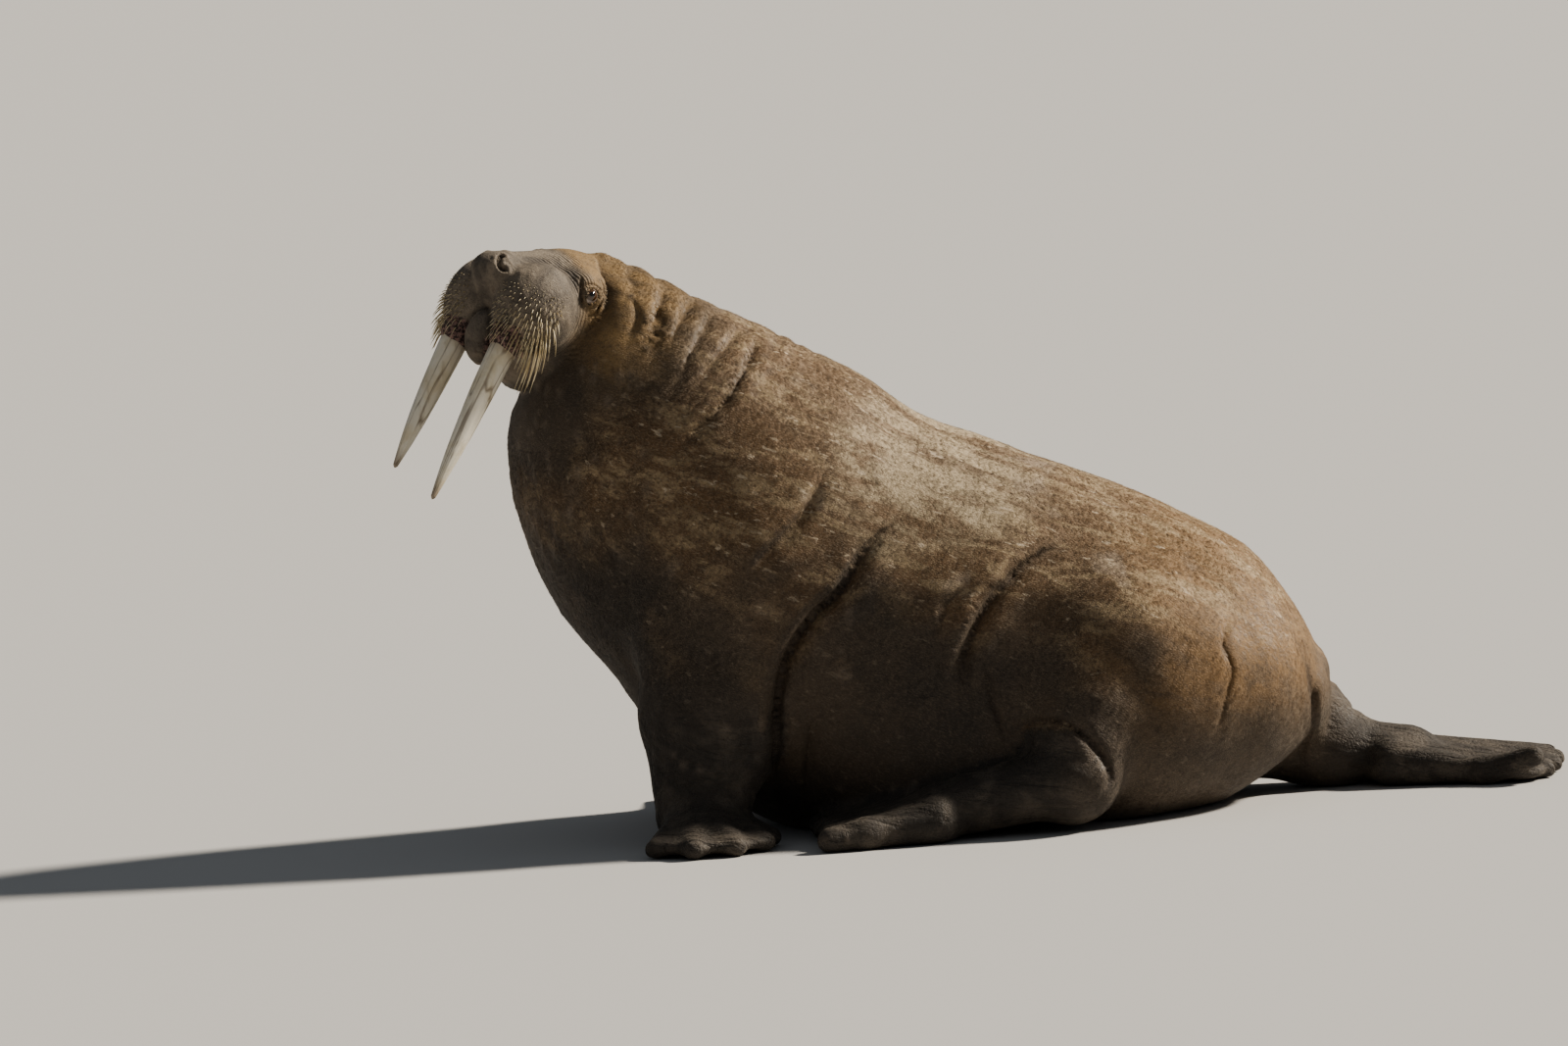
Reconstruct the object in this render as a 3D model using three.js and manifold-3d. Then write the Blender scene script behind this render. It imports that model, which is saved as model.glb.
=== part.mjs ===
// A bull walrus sitting up on its fore flippers, head raised and turned to its left, at life size.
// Millimetres, +Z up. It faces -X, its left side is -Y, and the floor is z = 0.
// The flesh is one smooth field of rounded masses. Each named piece is the part of it inside that
// piece's own region, so neighbours meet face to face with a thin gap.
import * as THREE from "three";
import { mergeVertices } from "three/addons/utils/BufferGeometryUtils.js";
import Module from "manifold-3d";

const wasm = await Module();
wasm.setup();

// Driving dimensions
const GAP = 0.4; // between neighbouring pieces
const FAR = 4000; // larger than the animal

// Vectors as plain arrays
const add = (a, b) => [a[0] + b[0], a[1] + b[1], a[2] + b[2]];
const sub = (a, b) => [a[0] - b[0], a[1] - b[1], a[2] - b[2]];
const times = (a, s) => [a[0] * s, a[1] * s, a[2] * s];
const dot = (a, b) => a[0] * b[0] + a[1] * b[1] + a[2] * b[2];
const norm = (a) => Math.hypot(a[0], a[1], a[2]);
const unit = (a) => times(a, 1 / norm(a));
const cross = (a, b) => [
  a[1] * b[2] - a[2] * b[1],
  a[2] * b[0] - a[0] * b[2],
  a[0] * b[1] - a[1] * b[0],
];
const mix = (a, b, t) => a + (b - a) * t;
const mixPoint = (a, b, t) => [mix(a[0], b[0], t), mix(a[1], b[1], t), mix(a[2], b[2], t)];
const clamp = (x, low, high) => Math.min(high, Math.max(low, x));
const rad = (degrees) => (degrees * Math.PI) / 180;
const mirrorY = (p) => [p[0], -p[1], p[2]];
const UP = [0, 0, 1];

// Joins two distances with a fillet of about k
const join = (a, b, k) => Math.min(a, b) - (Math.max(k - Math.abs(a - b), 0) ** 2 / k) * 0.25;

// Rounded masses: about how far p is outside each
function ball(p, [centre, radii]) {
  const [x, y, z] = sub(p, centre);
  const share = Math.hypot(x / radii[0], y / radii[1], z / radii[2]);
  return share < 1e-6 ? -Math.min(...radii) : Math.hypot(x, y, z) * (1 - 1 / share);
}
// A limb or digit from a to b, its radius going from ra to rb, thinner across the direction flat
function limb(p, a, b, ra, rb, flat = UP, thinness = 1) {
  const along = sub(b, a);
  const t = clamp(dot(sub(p, a), along) / dot(along, along), 0, 1);
  const off = sub(p, mixPoint(a, b, t));
  const across = dot(off, flat);
  const side2 = Math.max(dot(off, off) - across * across, 0);
  const stretched = Math.hypot(Math.sqrt(side2), across / thinness);
  return stretched < 1e-6 ? -mix(ra, rb, t) * thinness : norm(off) * (1 - mix(ra, rb, t) / stretched);
}

// The trunk, from nape to rump. Each section has the place of its back and belly line in the
// middle plane, how far down its widest line is, its half width there, and its shift sideways.
const TRUNK = [
  { back: [-900, 1474], belly: [-1140, 1150], widest: 0.5, half: 124, y: -22 }, // nape
  { back: [-795, 1428], belly: [-1176, 1050], widest: 0.5, half: 240, y: -28 }, // upper neck
  { back: [-645, 1336], belly: [-1176, 905], widest: 0.52, half: 322, y: -16 }, // middle of the neck
  { back: [-470, 1246], belly: [-1150, 770], widest: 0.54, half: 388, y: -4 }, // lower neck
  { back: [-295, 1150], belly: [-1085, 600], widest: 0.56, half: 436, y: 0 }, // shoulders
  { back: [-140, 1034], belly: [-965, 430], widest: 0.58, half: 470, y: 0 }, // chest
  { back: [25, 962], belly: [-720, 110], widest: 0.6, half: 486, y: 0 }, // behind the fore flippers
  { back: [270, 864], belly: [-290, -90], widest: 0.62, half: 506, y: 0 }, // belly
  { back: [515, 752], belly: [230, -90], widest: 0.62, half: 488, y: 0 }, // loin
  { back: [675, 655], belly: [530, -20], widest: 0.58, half: 432, y: 10 }, // hips
  { back: [785, 515], belly: [715, 70], widest: 0.55, half: 330, y: 30 }, // rump
  { back: [855, 370], belly: [815, 150], widest: 0.5, half: 180, y: 60 }, // above the tail
];
const TRUNK_CAP = [64, 45]; // how far the trunk rounds out past its first and last section
const STEPS = 6; // interpolated sections between two named ones

// One value of a Catmull-Rom curve between b and c
function catmull(a, b, c, d, t) {
  const [slopeB, slopeC] = [(c - a) / 2, (d - b) / 2];
  const bend = 3 * (c - b) - 2 * slopeB - slopeC;
  const turn = 2 * (b - c) + slopeB + slopeC;
  return b + t * (slopeB + t * (bend + t * turn));
}
function smoothed(rows, steps) {
  const row = (i) => rows[clamp(i, 0, rows.length - 1)];
  const between = (i, t) => row(i).map((v, j) => catmull(row(i - 1)[j], v, row(i + 1)[j], row(i + 2)[j], t));
  const out = [];
  for (let i = 0; i < rows.length - 1; i++) for (let s = 0; s < steps; s++) out.push(between(i, s / steps));
  return [...out, row(rows.length - 1)];
}
function trunkSection([backX, backZ, bellyX, bellyZ, widest, half, y]) {
  const height = Math.hypot(backX - bellyX, backZ - bellyZ);
  const up = [(backX - bellyX) / height, (backZ - bellyZ) / height];
  return {
    x: mix(backX, bellyX, widest),
    z: mix(backZ, bellyZ, widest),
    up,
    ahead: [up[1], -up[0]], // towards the tail
    above: widest * height,
    below: (1 - widest) * height,
    half,
    y,
  };
}
const sections = smoothed(
  TRUNK.map((s) => [...s.back, ...s.belly, s.widest, s.half, s.y]),
  STEPS,
).map(trunkSection);
const pastSection = (s, p) => (p[0] - s.x) * s.ahead[0] + (p[2] - s.z) * s.ahead[1];

// Where p lies along the trunk, in sections, and how far it is past either end
function alongTrunk(p) {
  let low = 0;
  let high = sections.length - 1;
  const before = pastSection(sections[low], p);
  if (before < 0) return { t: low, past: before };
  const after = pastSection(sections[high], p);
  if (after > 0) return { t: high, past: after };
  while (high - low > 1) {
    const middle = (low + high) >> 1;
    if (pastSection(sections[middle], p) >= 0) low = middle;
    else high = middle;
  }
  const a = pastSection(sections[low], p);
  return { t: low + a / (a - pastSection(sections[high], p)), past: 0 };
}
function trunk(p) {
  const { t, past } = alongTrunk(p);
  const i = Math.min(Math.floor(t), sections.length - 2);
  const [a, b, share] = [sections[i], sections[i + 1], t - i];
  const at = (key) => mix(a[key], b[key], share);
  const [x, y, z] = [p[0] - at("x"), p[1] - at("y"), p[2] - at("z")];
  const height = x * mix(a.up[0], b.up[0], share) + z * mix(a.up[1], b.up[1], share);
  const vertical = height / (height > 0 ? at("above") : at("below"));
  const ratio = Math.hypot(vertical, y / at("half"), past / TRUNK_CAP[past < 0 ? 0 : 1]);
  return ratio < 1e-6 ? -at("half") : Math.hypot(height, y, past) * (1 - 1 / ratio);
}

// The soft mass of the belly, which spreads on the floor behind the fore flippers
const BELLY = [[-120, 0, 255], [432, 496, 500]];

// The head has its own directions. Its zero point lies between the two whisker pads, under the nose.
const HEAD_POINT = [-1227, -267, 1417];
const HEAD_YAW = 48; // turned to its left
const HEAD_PITCH = 25; // nose up
const HEAD_ROLL = 6; // left cheek down
const headAxes = (() => {
  const [yaw, pitch, roll] = [rad(HEAD_YAW), rad(HEAD_PITCH), rad(HEAD_ROLL)];
  const front = [-Math.cos(yaw) * Math.cos(pitch), -Math.sin(yaw) * Math.cos(pitch), Math.sin(pitch)];
  const levelLeft = [Math.sin(yaw), -Math.cos(yaw), 0];
  const levelUp = cross(front, levelLeft);
  const left = sub(times(levelLeft, Math.cos(roll)), times(levelUp, Math.sin(roll)));
  return [front, left, cross(front, left)];
})();
const headMatrix = new THREE.Matrix4()
  .makeBasis(...headAxes.map((v) => new THREE.Vector3(...v)))
  .setPosition(...HEAD_POINT);
const toHead = (p) => headAxes.map((axis) => dot(sub(p, HEAD_POINT), axis));
const headDirection = (d) => headAxes.reduce((sum, axis, i) => add(sum, times(axis, d[i])), [0, 0, 0]);
const fromHead = (q) => add(HEAD_POINT, headDirection(q));

// Masses of the head, as centre and radii towards its front, left and top. Those off the middle
// have a twin on the other side.
const CRANIUM = [[-305, 0, 48], [195, 158, 166]];
const BRIDGE = [[-150, 0, 50], [150, 88, 100]];
const NOSE = [[-30, 0, 64], [58, 54, 48]];
const THROAT = [[-240, 0, -70], [150, 112, 110]];
const CHIN = [[-74, 0, -92], [58, 50, 75]];
const CHEEK = [[-255, 82, -20], [130, 84, 112]];
const PAD = [[-122, 86, -2], [116, 98, 128]];
const GUM = [[-62, 88, -100], [48, 42, 42]];
const BROW = [[-232, 108, 120], [62, 40, 30]];
const SOCKET = [[-232, 112, 87], [52, 42, 44]];

function head(p) {
  const half = [p[0], Math.abs(p[1]), p[2]];
  let d = join(ball(p, CRANIUM), ball(p, BRIDGE), 60);
  d = join(d, ball(p, THROAT), 60);
  d = join(d, ball(half, CHEEK), 50);
  d = join(d, ball(p, NOSE), 40);
  d = join(d, ball(half, BROW), 30);
  d = join(d, ball(half, SOCKET), 24);
  d = join(d, ball(half, GUM), 20);
  d = join(d, ball(p, CHIN), 10);
  return join(d, ball(half, PAD), 16);
}

// The left fore limb: upper arm, forearm and a spread hand pressed flat
const ARM = {
  shoulder: [-640, -330, 640],
  elbow: [-700, -400, 330],
  wrist: [-735, -462, 85],
  radii: [230, 178, 118],
  flatness: 0.62,
  flat: unit([0.25, 1, 0]),
};
const RIGHT_ARM_BEHIND = 35; // the right hand stands this much nearer the tail
const CLEAR = 4; // a digit's middle line is this much nearer the floor than its radius
const HAND = {
  root: [-742, -462, 62],
  heading: 24, // of the middle digit, from straight out towards the tail
  fan: [-52, -27, -4, 20, 46],
  lengths: [262, 300, 292, 262, 214],
  radii: [58, 27], // at the root and tip
  web: [24, 50], // half the width of the skin between two digits, at its root and outer edge
};
const WEB_THIN = 0.34; // its thickness for its width
const WEB_REACH = 0.86; // how far out it goes, as a share of the digits' length
const handDigits = HAND.lengths.map((length, i) => {
  const angle = rad(HAND.heading + HAND.fan[i]);
  const out = [Math.sin(angle), -Math.cos(angle), 0];
  const [rootRadius, tipRadius] = HAND.radii;
  const level = [HAND.root[0], HAND.root[1], tipRadius - CLEAR];
  return [add(HAND.root, times(out, rootRadius * 0.6)), add(level, times(out, length - tipRadius))];
});
// The skin between each two neighbouring digits
function webs(p, digits, width, d) {
  let sum = d;
  for (let i = 0; i < digits.length - 1; i++) {
    const [[a, b], [c, e]] = [digits[i], digits[i + 1]];
    const root = mixPoint(a, c, 0.5);
    const edge = mixPoint(root, mixPoint(b, e, 0.5), WEB_REACH);
    sum = join(sum, limb(p, root, edge, ...width, UP, WEB_THIN), 16);
  }
  return sum;
}
function foreLimb(p) {
  const { shoulder, elbow, wrist, radii, flatness, flat } = ARM;
  const upper = limb(p, shoulder, elbow, radii[0], radii[1], flat, flatness);
  const lower = limb(p, elbow, wrist, radii[1], radii[2], flat, flatness);
  const d = webs(p, handDigits, HAND.web, join(upper, lower, 40));
  return handDigits.reduce((sum, [a, b]) => join(sum, limb(p, a, b, ...HAND.radii), 34), d);
}

// The left hind limb, folded forward along the flank: thigh, heel, foot and toes
const THIGH = [[330, -330, 330], [285, 215, 300]];
const HIND_LEFT = {
  knee: [255, -440, 270],
  heel: [200, -520, 130],
  instep: [-110, -555, 74],
  radii: [150, 116, 92],
  flatness: 0.76,
  toeRoot: [-150, -555, 0],
  spread: 92, // half the width of the row of toe roots
  fan: [-18, -9, 0, 9, 17],
  lengths: [330, 308, 292, 296, 306],
  toeRadii: [58, 32],
  web: [34, 46],
  curl: 0, // how high the tip of the last toe is raised
};
// The right hind limb, trailing behind
const HIND_RIGHT = {
  thigh: [[590, 235, 300], [270, 235, 270]],
  knee: [690, 240, 235],
  ankle: [880, 235, 94],
  instep: [1060, 250, 76],
  radii: [190, 120, 98],
  flatness: 0.7,
  toeRoot: [1040, 250, 0],
  spread: 120,
  fan: [-20, -10, 0, 10, 20],
  lengths: [470, 462, 440, 420, 400],
  toeRadii: [60, 24],
  web: [40, 64],
  curl: 50,
};
// Toes as a fan on the floor, heading along +X or -X
const CURL_FROM = 0.66; // where along a toe its raised tip begins
function toesOf({ toeRoot, spread, fan, lengths, toeRadii }, heading) {
  return lengths.map((length, i) => {
    const angle = rad(fan[i]);
    const out = [heading * Math.cos(angle), -Math.sin(angle), 0];
    const root = add(toeRoot, [0, (-spread * i) / 2 + spread, 0]);
    const [rootRadius, tipRadius] = toeRadii;
    const tip = add(root, times(out, length - tipRadius));
    return [add(root, times(UP, rootRadius - CLEAR)), add(tip, times(UP, tipRadius - CLEAR))];
  });
}
const leftToes = toesOf(HIND_LEFT, -1);
const rightToes = toesOf(HIND_RIGHT, 1);
function foot(p, toes, { toeRadii, web, curl }, d) {
  const [a, b] = toes[toes.length - 1];
  const bend = mixPoint(a, b, CURL_FROM);
  const raised = limb(p, bend, add(b, times(UP, curl)), mix(...toeRadii, CURL_FROM), toeRadii[1] * 1.1);
  const flat = [...toes.slice(0, -1), [a, bend]];
  const all = webs(p, toes, web, join(d, raised, 12));
  return flat.reduce((sum, [from, to]) => join(sum, limb(p, from, to, ...toeRadii), 38), all);
}
function hindLeft(p) {
  const { knee, heel, instep, radii, flatness } = HIND_LEFT;
  const shank = limb(p, knee, heel, radii[0], radii[1]);
  const sole = limb(p, heel, instep, radii[1], radii[2], UP, flatness);
  return foot(p, leftToes, HIND_LEFT, join(shank, sole, 30));
}
function hindRight(p) {
  const { knee, ankle, instep, radii, flatness, thigh } = HIND_RIGHT;
  const shank = join(ball(p, thigh), limb(p, knee, ankle, radii[0], radii[1]), 70);
  const sole = limb(p, ankle, instep, radii[1], radii[2], UP, flatness);
  return foot(p, rightToes, HIND_RIGHT, join(shank, sole, 30));
}

// The tail: a short flap of skin between the hind limbs
const TAIL = { root: [620, 10, 150], end: [545, -60, 48], radii: [95, 40] };

// The whole of the flesh
function flesh(p) {
  let d = join(trunk(p), ball(p, BELLY), 60);
  d = join(d, head(toHead(p)), 36);
  d = join(d, foreLimb(p), 80);
  d = join(d, foreLimb(add(mirrorY(p), [-RIGHT_ARM_BEHIND, 0, 0])), 80);
  d = join(d, ball(p, THIGH), 90);
  d = join(d, hindLeft(p), 40);
  d = join(d, hindRight(p), 80);
  return join(d, limb(p, TAIL.root, TAIL.end, ...TAIL.radii), 50);
}

// Solids for joining and cutting
function solid(vertices, faces) {
  return new wasm.Manifold(
    new wasm.Mesh({ numProp: 3, vertProperties: new Float32Array(vertices), triVerts: new Uint32Array(faces) }),
  );
}
function solidOf(geometry, matrix) {
  const bare = geometry.index ? geometry.toNonIndexed() : geometry.clone();
  bare.deleteAttribute("normal");
  bare.deleteAttribute("uv");
  const merged = mergeVertices(bare.applyMatrix4(matrix), 1e-3);
  return solid(merged.attributes.position.array, merged.index.array);
}
const allOf = (shapes) => shapes.reduce((a, b) => a.intersect(b));
const together = (shapes) => shapes.reduce((a, b) => a.add(b));
function largest(shape) {
  return shape.decompose().reduce((a, b) => (b.volume() > a.volume() ? b : a));
}

// The grid a field is sampled on: a box of a local frame, divided into cells
function gridOf(field, frame, low, high, step) {
  const cells = low.map((v, axis) => Math.ceil((high[axis] - v) / step[axis]));
  const sides = cells.map((n) => n + 1);
  const index = (c) => c[0] + sides[0] * (c[1] + sides[1] * c[2]);
  const place = (c) =>
    new THREE.Vector3(...c.map((n, axis) => low[axis] + n * step[axis])).applyMatrix4(frame).toArray();
  const onRim = (c) => c.some((n, axis) => n === 0 || n === cells[axis]);
  const values = new Float32Array(sides[0] * sides[1] * sides[2]);
  const reach = Math.min(...step);
  const corners = [];
  for (let k = 0; k < sides[2]; k++)
    for (let j = 0; j < sides[1]; j++) for (let i = 0; i < sides[0]; i++) corners.push([i, j, k]);
  for (const c of corners) {
    const value = field(place(c));
    values[index(c)] = onRim(c) ? Math.max(value, reach / 2) : value;
  }
  return { cells, corners, index, place, values, reach, inside: (c) => values[index(c)] < 0 };
}
// The twelve edges of a cell, each as its two corners
const CELL_EDGES = [0, 1, 2].flatMap((axis) =>
  [0, 1, 2, 3].map((n) => {
    const from = [0, 0, 0];
    from[(axis + 1) % 3] = n & 1;
    from[(axis + 2) % 3] = n >> 1;
    const to = [...from];
    to[axis] = 1;
    return [from, to];
  }),
);
// The middle of the places where the surface crosses a cell's edges, in cells
function crossing(grid, cell) {
  const hits = [];
  for (const [from, to] of CELL_EDGES) {
    const [a, b] = [add(cell, from), add(cell, to)];
    if (grid.inside(a) === grid.inside(b)) continue;
    const [u, v] = [grid.values[grid.index(a)], grid.values[grid.index(b)]];
    hits.push(mixPoint(a, b, u / (u - v)));
  }
  return hits.length ? times(hits.reduce(add), 1 / hits.length) : null;
}
// Moves a point on to the surface of the field, by at most reach
function settled(field, point, reach) {
  let p = point;
  for (let turn = 0; turn < 3; turn++) {
    const value = field(p);
    const slope = [[1, 0, 0], [0, 1, 0], [0, 0, 1]].map((axis) => field(add(p, axis)) - value);
    p = sub(p, times(slope, value / Math.max(dot(slope, slope), 0.2)));
  }
  return norm(sub(p, point)) < reach ? p : point;
}
// The surface of a field: one point in each cell it crosses and one four-sided face round each
// crossed edge, split on its shorter diagonal
function surfaceOf(field, frame, low, high, step) {
  const grid = gridOf(field, frame, low, high, step);
  const points = [];
  const pointOf = new Map();
  for (const cell of grid.corners) {
    if (cell.some((n, axis) => n === grid.cells[axis])) continue;
    const at = crossing(grid, cell);
    if (!at) continue;
    const onRim = cell.some((n, axis) => n === 0 || n === grid.cells[axis] - 1);
    pointOf.set(grid.index(cell), points.length);
    points.push(onRim ? grid.place(at) : settled(field, grid.place(at), grid.reach));
  }
  const faces = [];
  const apart = (m, n) => norm(sub(points[m], points[n]));
  for (const c of grid.corners)
    for (let axis = 0; axis < 3; axis++) {
      const next = [...c];
      next[axis]++;
      if (next[axis] > grid.cells[axis] || grid.inside(c) === grid.inside(next)) continue;
      const around = [[0, 0], [-1, 0], [-1, -1], [0, -1]].map(([du, dv]) => {
        const cell = [...c];
        cell[(axis + 1) % 3] += du;
        cell[(axis + 2) % 3] += dv;
        return pointOf.get(grid.index(cell));
      });
      const [p, q, r, s] = grid.inside(c) ? around : around.reverse();
      faces.push(...(apart(p, r) < apart(q, s) ? [p, q, r, p, r, s] : [p, q, s, q, r, s]));
    }
  return solid(points.flat(), faces);
}

// A closed tube through centres. Each ring is widths[i] by heights[i], its width nearest to the
// direction hint. A last width of zero ends it in a point.
function sweep(centres, widths, heights, sides, hint) {
  const vertices = [];
  centres.forEach((centre, i) => {
    const along = unit(sub(centres[Math.min(i + 1, centres.length - 1)], centres[Math.max(i - 1, 0)]));
    const wide = unit(sub(hint, times(along, dot(hint, along))));
    const high = cross(along, wide);
    const ring = widths[i] > 0 ? sides : 1;
    for (let n = 0; n < ring; n++) {
      const angle = (2 * Math.PI * n) / sides;
      const offset = add(times(wide, widths[i] * Math.cos(angle)), times(high, heights[i] * Math.sin(angle)));
      vertices.push(add(centre, offset));
    }
  });
  const pointed = widths[widths.length - 1] === 0;
  const lastRing = centres.length - 1 - (pointed ? 1 : 0);
  const faces = [];
  for (let n = 1; n < sides - 1; n++) faces.push(0, n + 1, n);
  for (let i = 0; i < lastRing; i++)
    for (let n = 0; n < sides; n++) {
      const [a, b] = [i * sides + n, i * sides + ((n + 1) % sides)];
      faces.push(a, b, b + sides, a, b + sides, a + sides);
    }
  const start = lastRing * sides;
  if (pointed) for (let n = 0; n < sides; n++) faces.push(start + n, start + ((n + 1) % sides), start + sides);
  else for (let n = 1; n < sides - 1; n++) faces.push(start, start + n, start + n + 1);
  return solid(vertices.flat(), faces);
}

// Regions: everything on the side of a plane that its normal points to, less a margin
function beyond({ point, normal }, margin = 0) {
  const n = unit(normal);
  const centre = add(point, times(n, FAR / 2 + margin));
  const turn = new THREE.Quaternion().setFromUnitVectors(new THREE.Vector3(0, 0, 1), new THREE.Vector3(...n));
  const matrix = new THREE.Matrix4().compose(new THREE.Vector3(...centre), turn, new THREE.Vector3(1, 1, 1));
  return solidOf(new THREE.BoxGeometry(FAR * 2, FAR * 2, FAR), matrix);
}
const region = (planes, margin = GAP / 2) => allOf(planes.map((plane) => beyond(plane, margin)));
const without = (planes) => region(planes, -GAP / 2);
const flipped = ({ point, normal }) => ({ point, normal: times(normal, -1) });
const mirrored = (planes) => planes.map(({ point, normal }) => ({ point: mirrorY(point), normal: mirrorY(normal) }));
const headPlanes = (planes) =>
  planes.map(({ point, normal }) => ({ point: fromHead(point), normal: headDirection(normal) }));
const FLOOR = { point: [0, 0, 0], normal: UP };

// Planes across the trunk, at places counted in named sections from the nape, facing the tail
function trunkPlane(place) {
  const s = sections[Math.round(place * STEPS)];
  return { point: [s.x, 0, s.z], normal: [s.ahead[0], 0, s.ahead[1]] };
}
const NECK_START = { point: [-830, 0, 1450], normal: [0.87, 0, -0.49] };
const CHEST_START = trunkPlane(3);
const BELLY_START = trunkPlane(5.8);
const RUMP_START = trunkPlane(8);

// The regions of the limbs and the tail
const FORE_LEFT_REGION = [
  { point: [-700, -400, 385], normal: [-0.25, -0.35, -0.9] },
  { point: [-542, -400, 200], normal: [-1, 0, -0.08] },
  { point: [-700, -225, 200], normal: [0, -1, 0] },
];
const FORE_RIGHT_REGION = mirrored(FORE_LEFT_REGION).map(({ point, normal }) => ({
  point: add(point, [RIGHT_ARM_BEHIND, 0, 0]),
  normal,
}));
const HIND_LEFT_REGION = [
  { point: [0, -432, 0], normal: [0, -0.88, -0.474] },
  { point: [-80, -500, 186], normal: [0.22, 0, -0.975] },
  { point: [322, -500, 100], normal: [-1, 0, 0] },
];
const HIND_RIGHT_REGION = [{ point: [822, 230, 150], normal: [0.93, 0, -0.36] }];
const TAIL_REGION = [
  { point: [560, -40, 108], normal: [-0.25, -0.3, -0.92] },
  { point: [455, 0, 100], normal: [1, 0, 0.1] },
  { point: [680, 0, 100], normal: [-1, 0, 0.1] },
  { point: [560, 40, 100], normal: [0, -1, 0] },
  { point: [560, -150, 100], normal: [0, 1, 0] },
];

// The regions of the face, in head directions
const FACE_BACK = { point: [-195, 0, 0], normal: [1, 0, 0.06] };
const FACE_BOTTOM = { point: [-100, 0, -180], normal: [-0.15, 0, 1] };
const NOSE_BACK = { point: [-108, 0, 0], normal: [1, 0, 0.2] };
const PAD_TOP_LEFT = { point: [-100, 40, 90], normal: [0, 0.94, -0.34] };
const PAD_TOP_RIGHT = mirrored([PAD_TOP_LEFT])[0];
const MIDDLE = { point: [0, 0, 0], normal: [0, 1, 0] };
const JAW_HALF_WIDTH = 49;
const JAW_TOP = -40;
const NOSE_REGION = headPlanes([NOSE_BACK, flipped(PAD_TOP_LEFT), flipped(PAD_TOP_RIGHT)]);
const JAW_REGION = headPlanes([
  FACE_BACK,
  FACE_BOTTOM,
  { point: [0, JAW_HALF_WIDTH, 0], normal: [0, -1, 0] },
  { point: [0, -JAW_HALF_WIDTH, 0], normal: [0, 1, 0] },
  { point: [-60, 0, JAW_TOP], normal: [0, 0, -1] },
]);
const HEAD_REGION = [flipped(NECK_START), ...headPlanes([FACE_BOTTOM])];
const PAD_LEFT_REGION = headPlanes([FACE_BACK, FACE_BOTTOM, MIDDLE, PAD_TOP_LEFT]);
const PAD_RIGHT_REGION = headPlanes([FACE_BACK, FACE_BOTTOM, flipped(MIDDLE), PAD_TOP_RIGHT]);

// Tusks: from a socket above the lip, down and a little forward, bowed to the front
const TUSK = {
  lip: [-56, 88, -128],
  lengths: [430, 362], // left, right: the right one is worn shorter
  root: 62, // hidden in the socket
  forward: 9, // degrees
  bow: 2,
  width: 40, // half its front to back width at the lip
  flatness: 0.76,
  taper: [1, 1, 0.98, 0.94, 0.89, 0.83, 0.76, 0.68, 0.58, 0.45, 0.31, 0.17],
  sides: 14,
};
function tusk(side, growth = 0) {
  const length = TUSK.lengths[side > 0 ? 0 : 1];
  const down = [Math.sin(rad(TUSK.forward)), 0, -Math.cos(rad(TUSK.forward))];
  const count = TUSK.taper.length;
  const centres = TUSK.taper.map((_, i) => {
    const reach = mix(-TUSK.root - growth, length + growth, i / (count - 1));
    const t = reach / length;
    const lip = [TUSK.lip[0], side * TUSK.lip[1], TUSK.lip[2]];
    return fromHead(add(add(lip, times(down, reach)), [TUSK.bow * 4 * t * (1 - t), 0, 0]));
  });
  const widths = TUSK.taper.map((share) => share * TUSK.width + growth);
  const heights = TUSK.taper.map((share) => share * TUSK.width * TUSK.flatness + growth);
  return sweep(centres, widths, heights, TUSK.sides, headAxes[0]);
}

// Eyes, with an upper and a lower lid round each
const EYE = { centre: [-228, 146, 87], radius: 25, outward: [0.2, 0.95, 0.12] };
const LID = { width: 21, upper: 17, lower: 14, thickness: 5.5, corner: 3, stations: 8, lift: 1.5 };
const onSide = (p, side) => [p[0], p[1] * side, p[2]];
function eye(side, growth = 0) {
  const matrix = new THREE.Matrix4().setPosition(...fromHead(onSide(EYE.centre, side)));
  return solidOf(new THREE.SphereGeometry(EYE.radius + growth, 14, 9), matrix);
}
function lid(side, height) {
  const outward = unit(onSide(EYE.outward, side));
  const along = unit(cross(UP, outward));
  const over = cross(outward, along);
  const turn = (i) => (Math.PI * i) / (LID.stations - 1);
  const stations = Array.from({ length: LID.stations }, (_, i) => i);
  const centres = stations.map((i) => {
    const [x, z] = [LID.width * Math.cos(turn(i)), height * Math.sin(turn(i))];
    const depth = Math.sqrt(EYE.radius ** 2 - x * x - z * z);
    const direction = unit(add(add(times(outward, depth), times(along, x)), times(over, z)));
    return fromHead(add(onSide(EYE.centre, side), times(direction, EYE.radius + LID.lift)));
  });
  const thick = stations.map((i) => mix(LID.corner, LID.thickness, Math.sin(turn(i))));
  return sweep(centres, thick, thick, 5, headDirection(outward));
}

// The point where a ray, given in head directions, meets the flesh
function skinPoint(from, towards) {
  const direction = headDirection(unit(sub(towards, from)));
  let p = fromHead(from);
  for (let i = 0; i < 80; i++) p = add(p, times(direction, flesh(p) * 0.7));
  return p;
}

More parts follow.
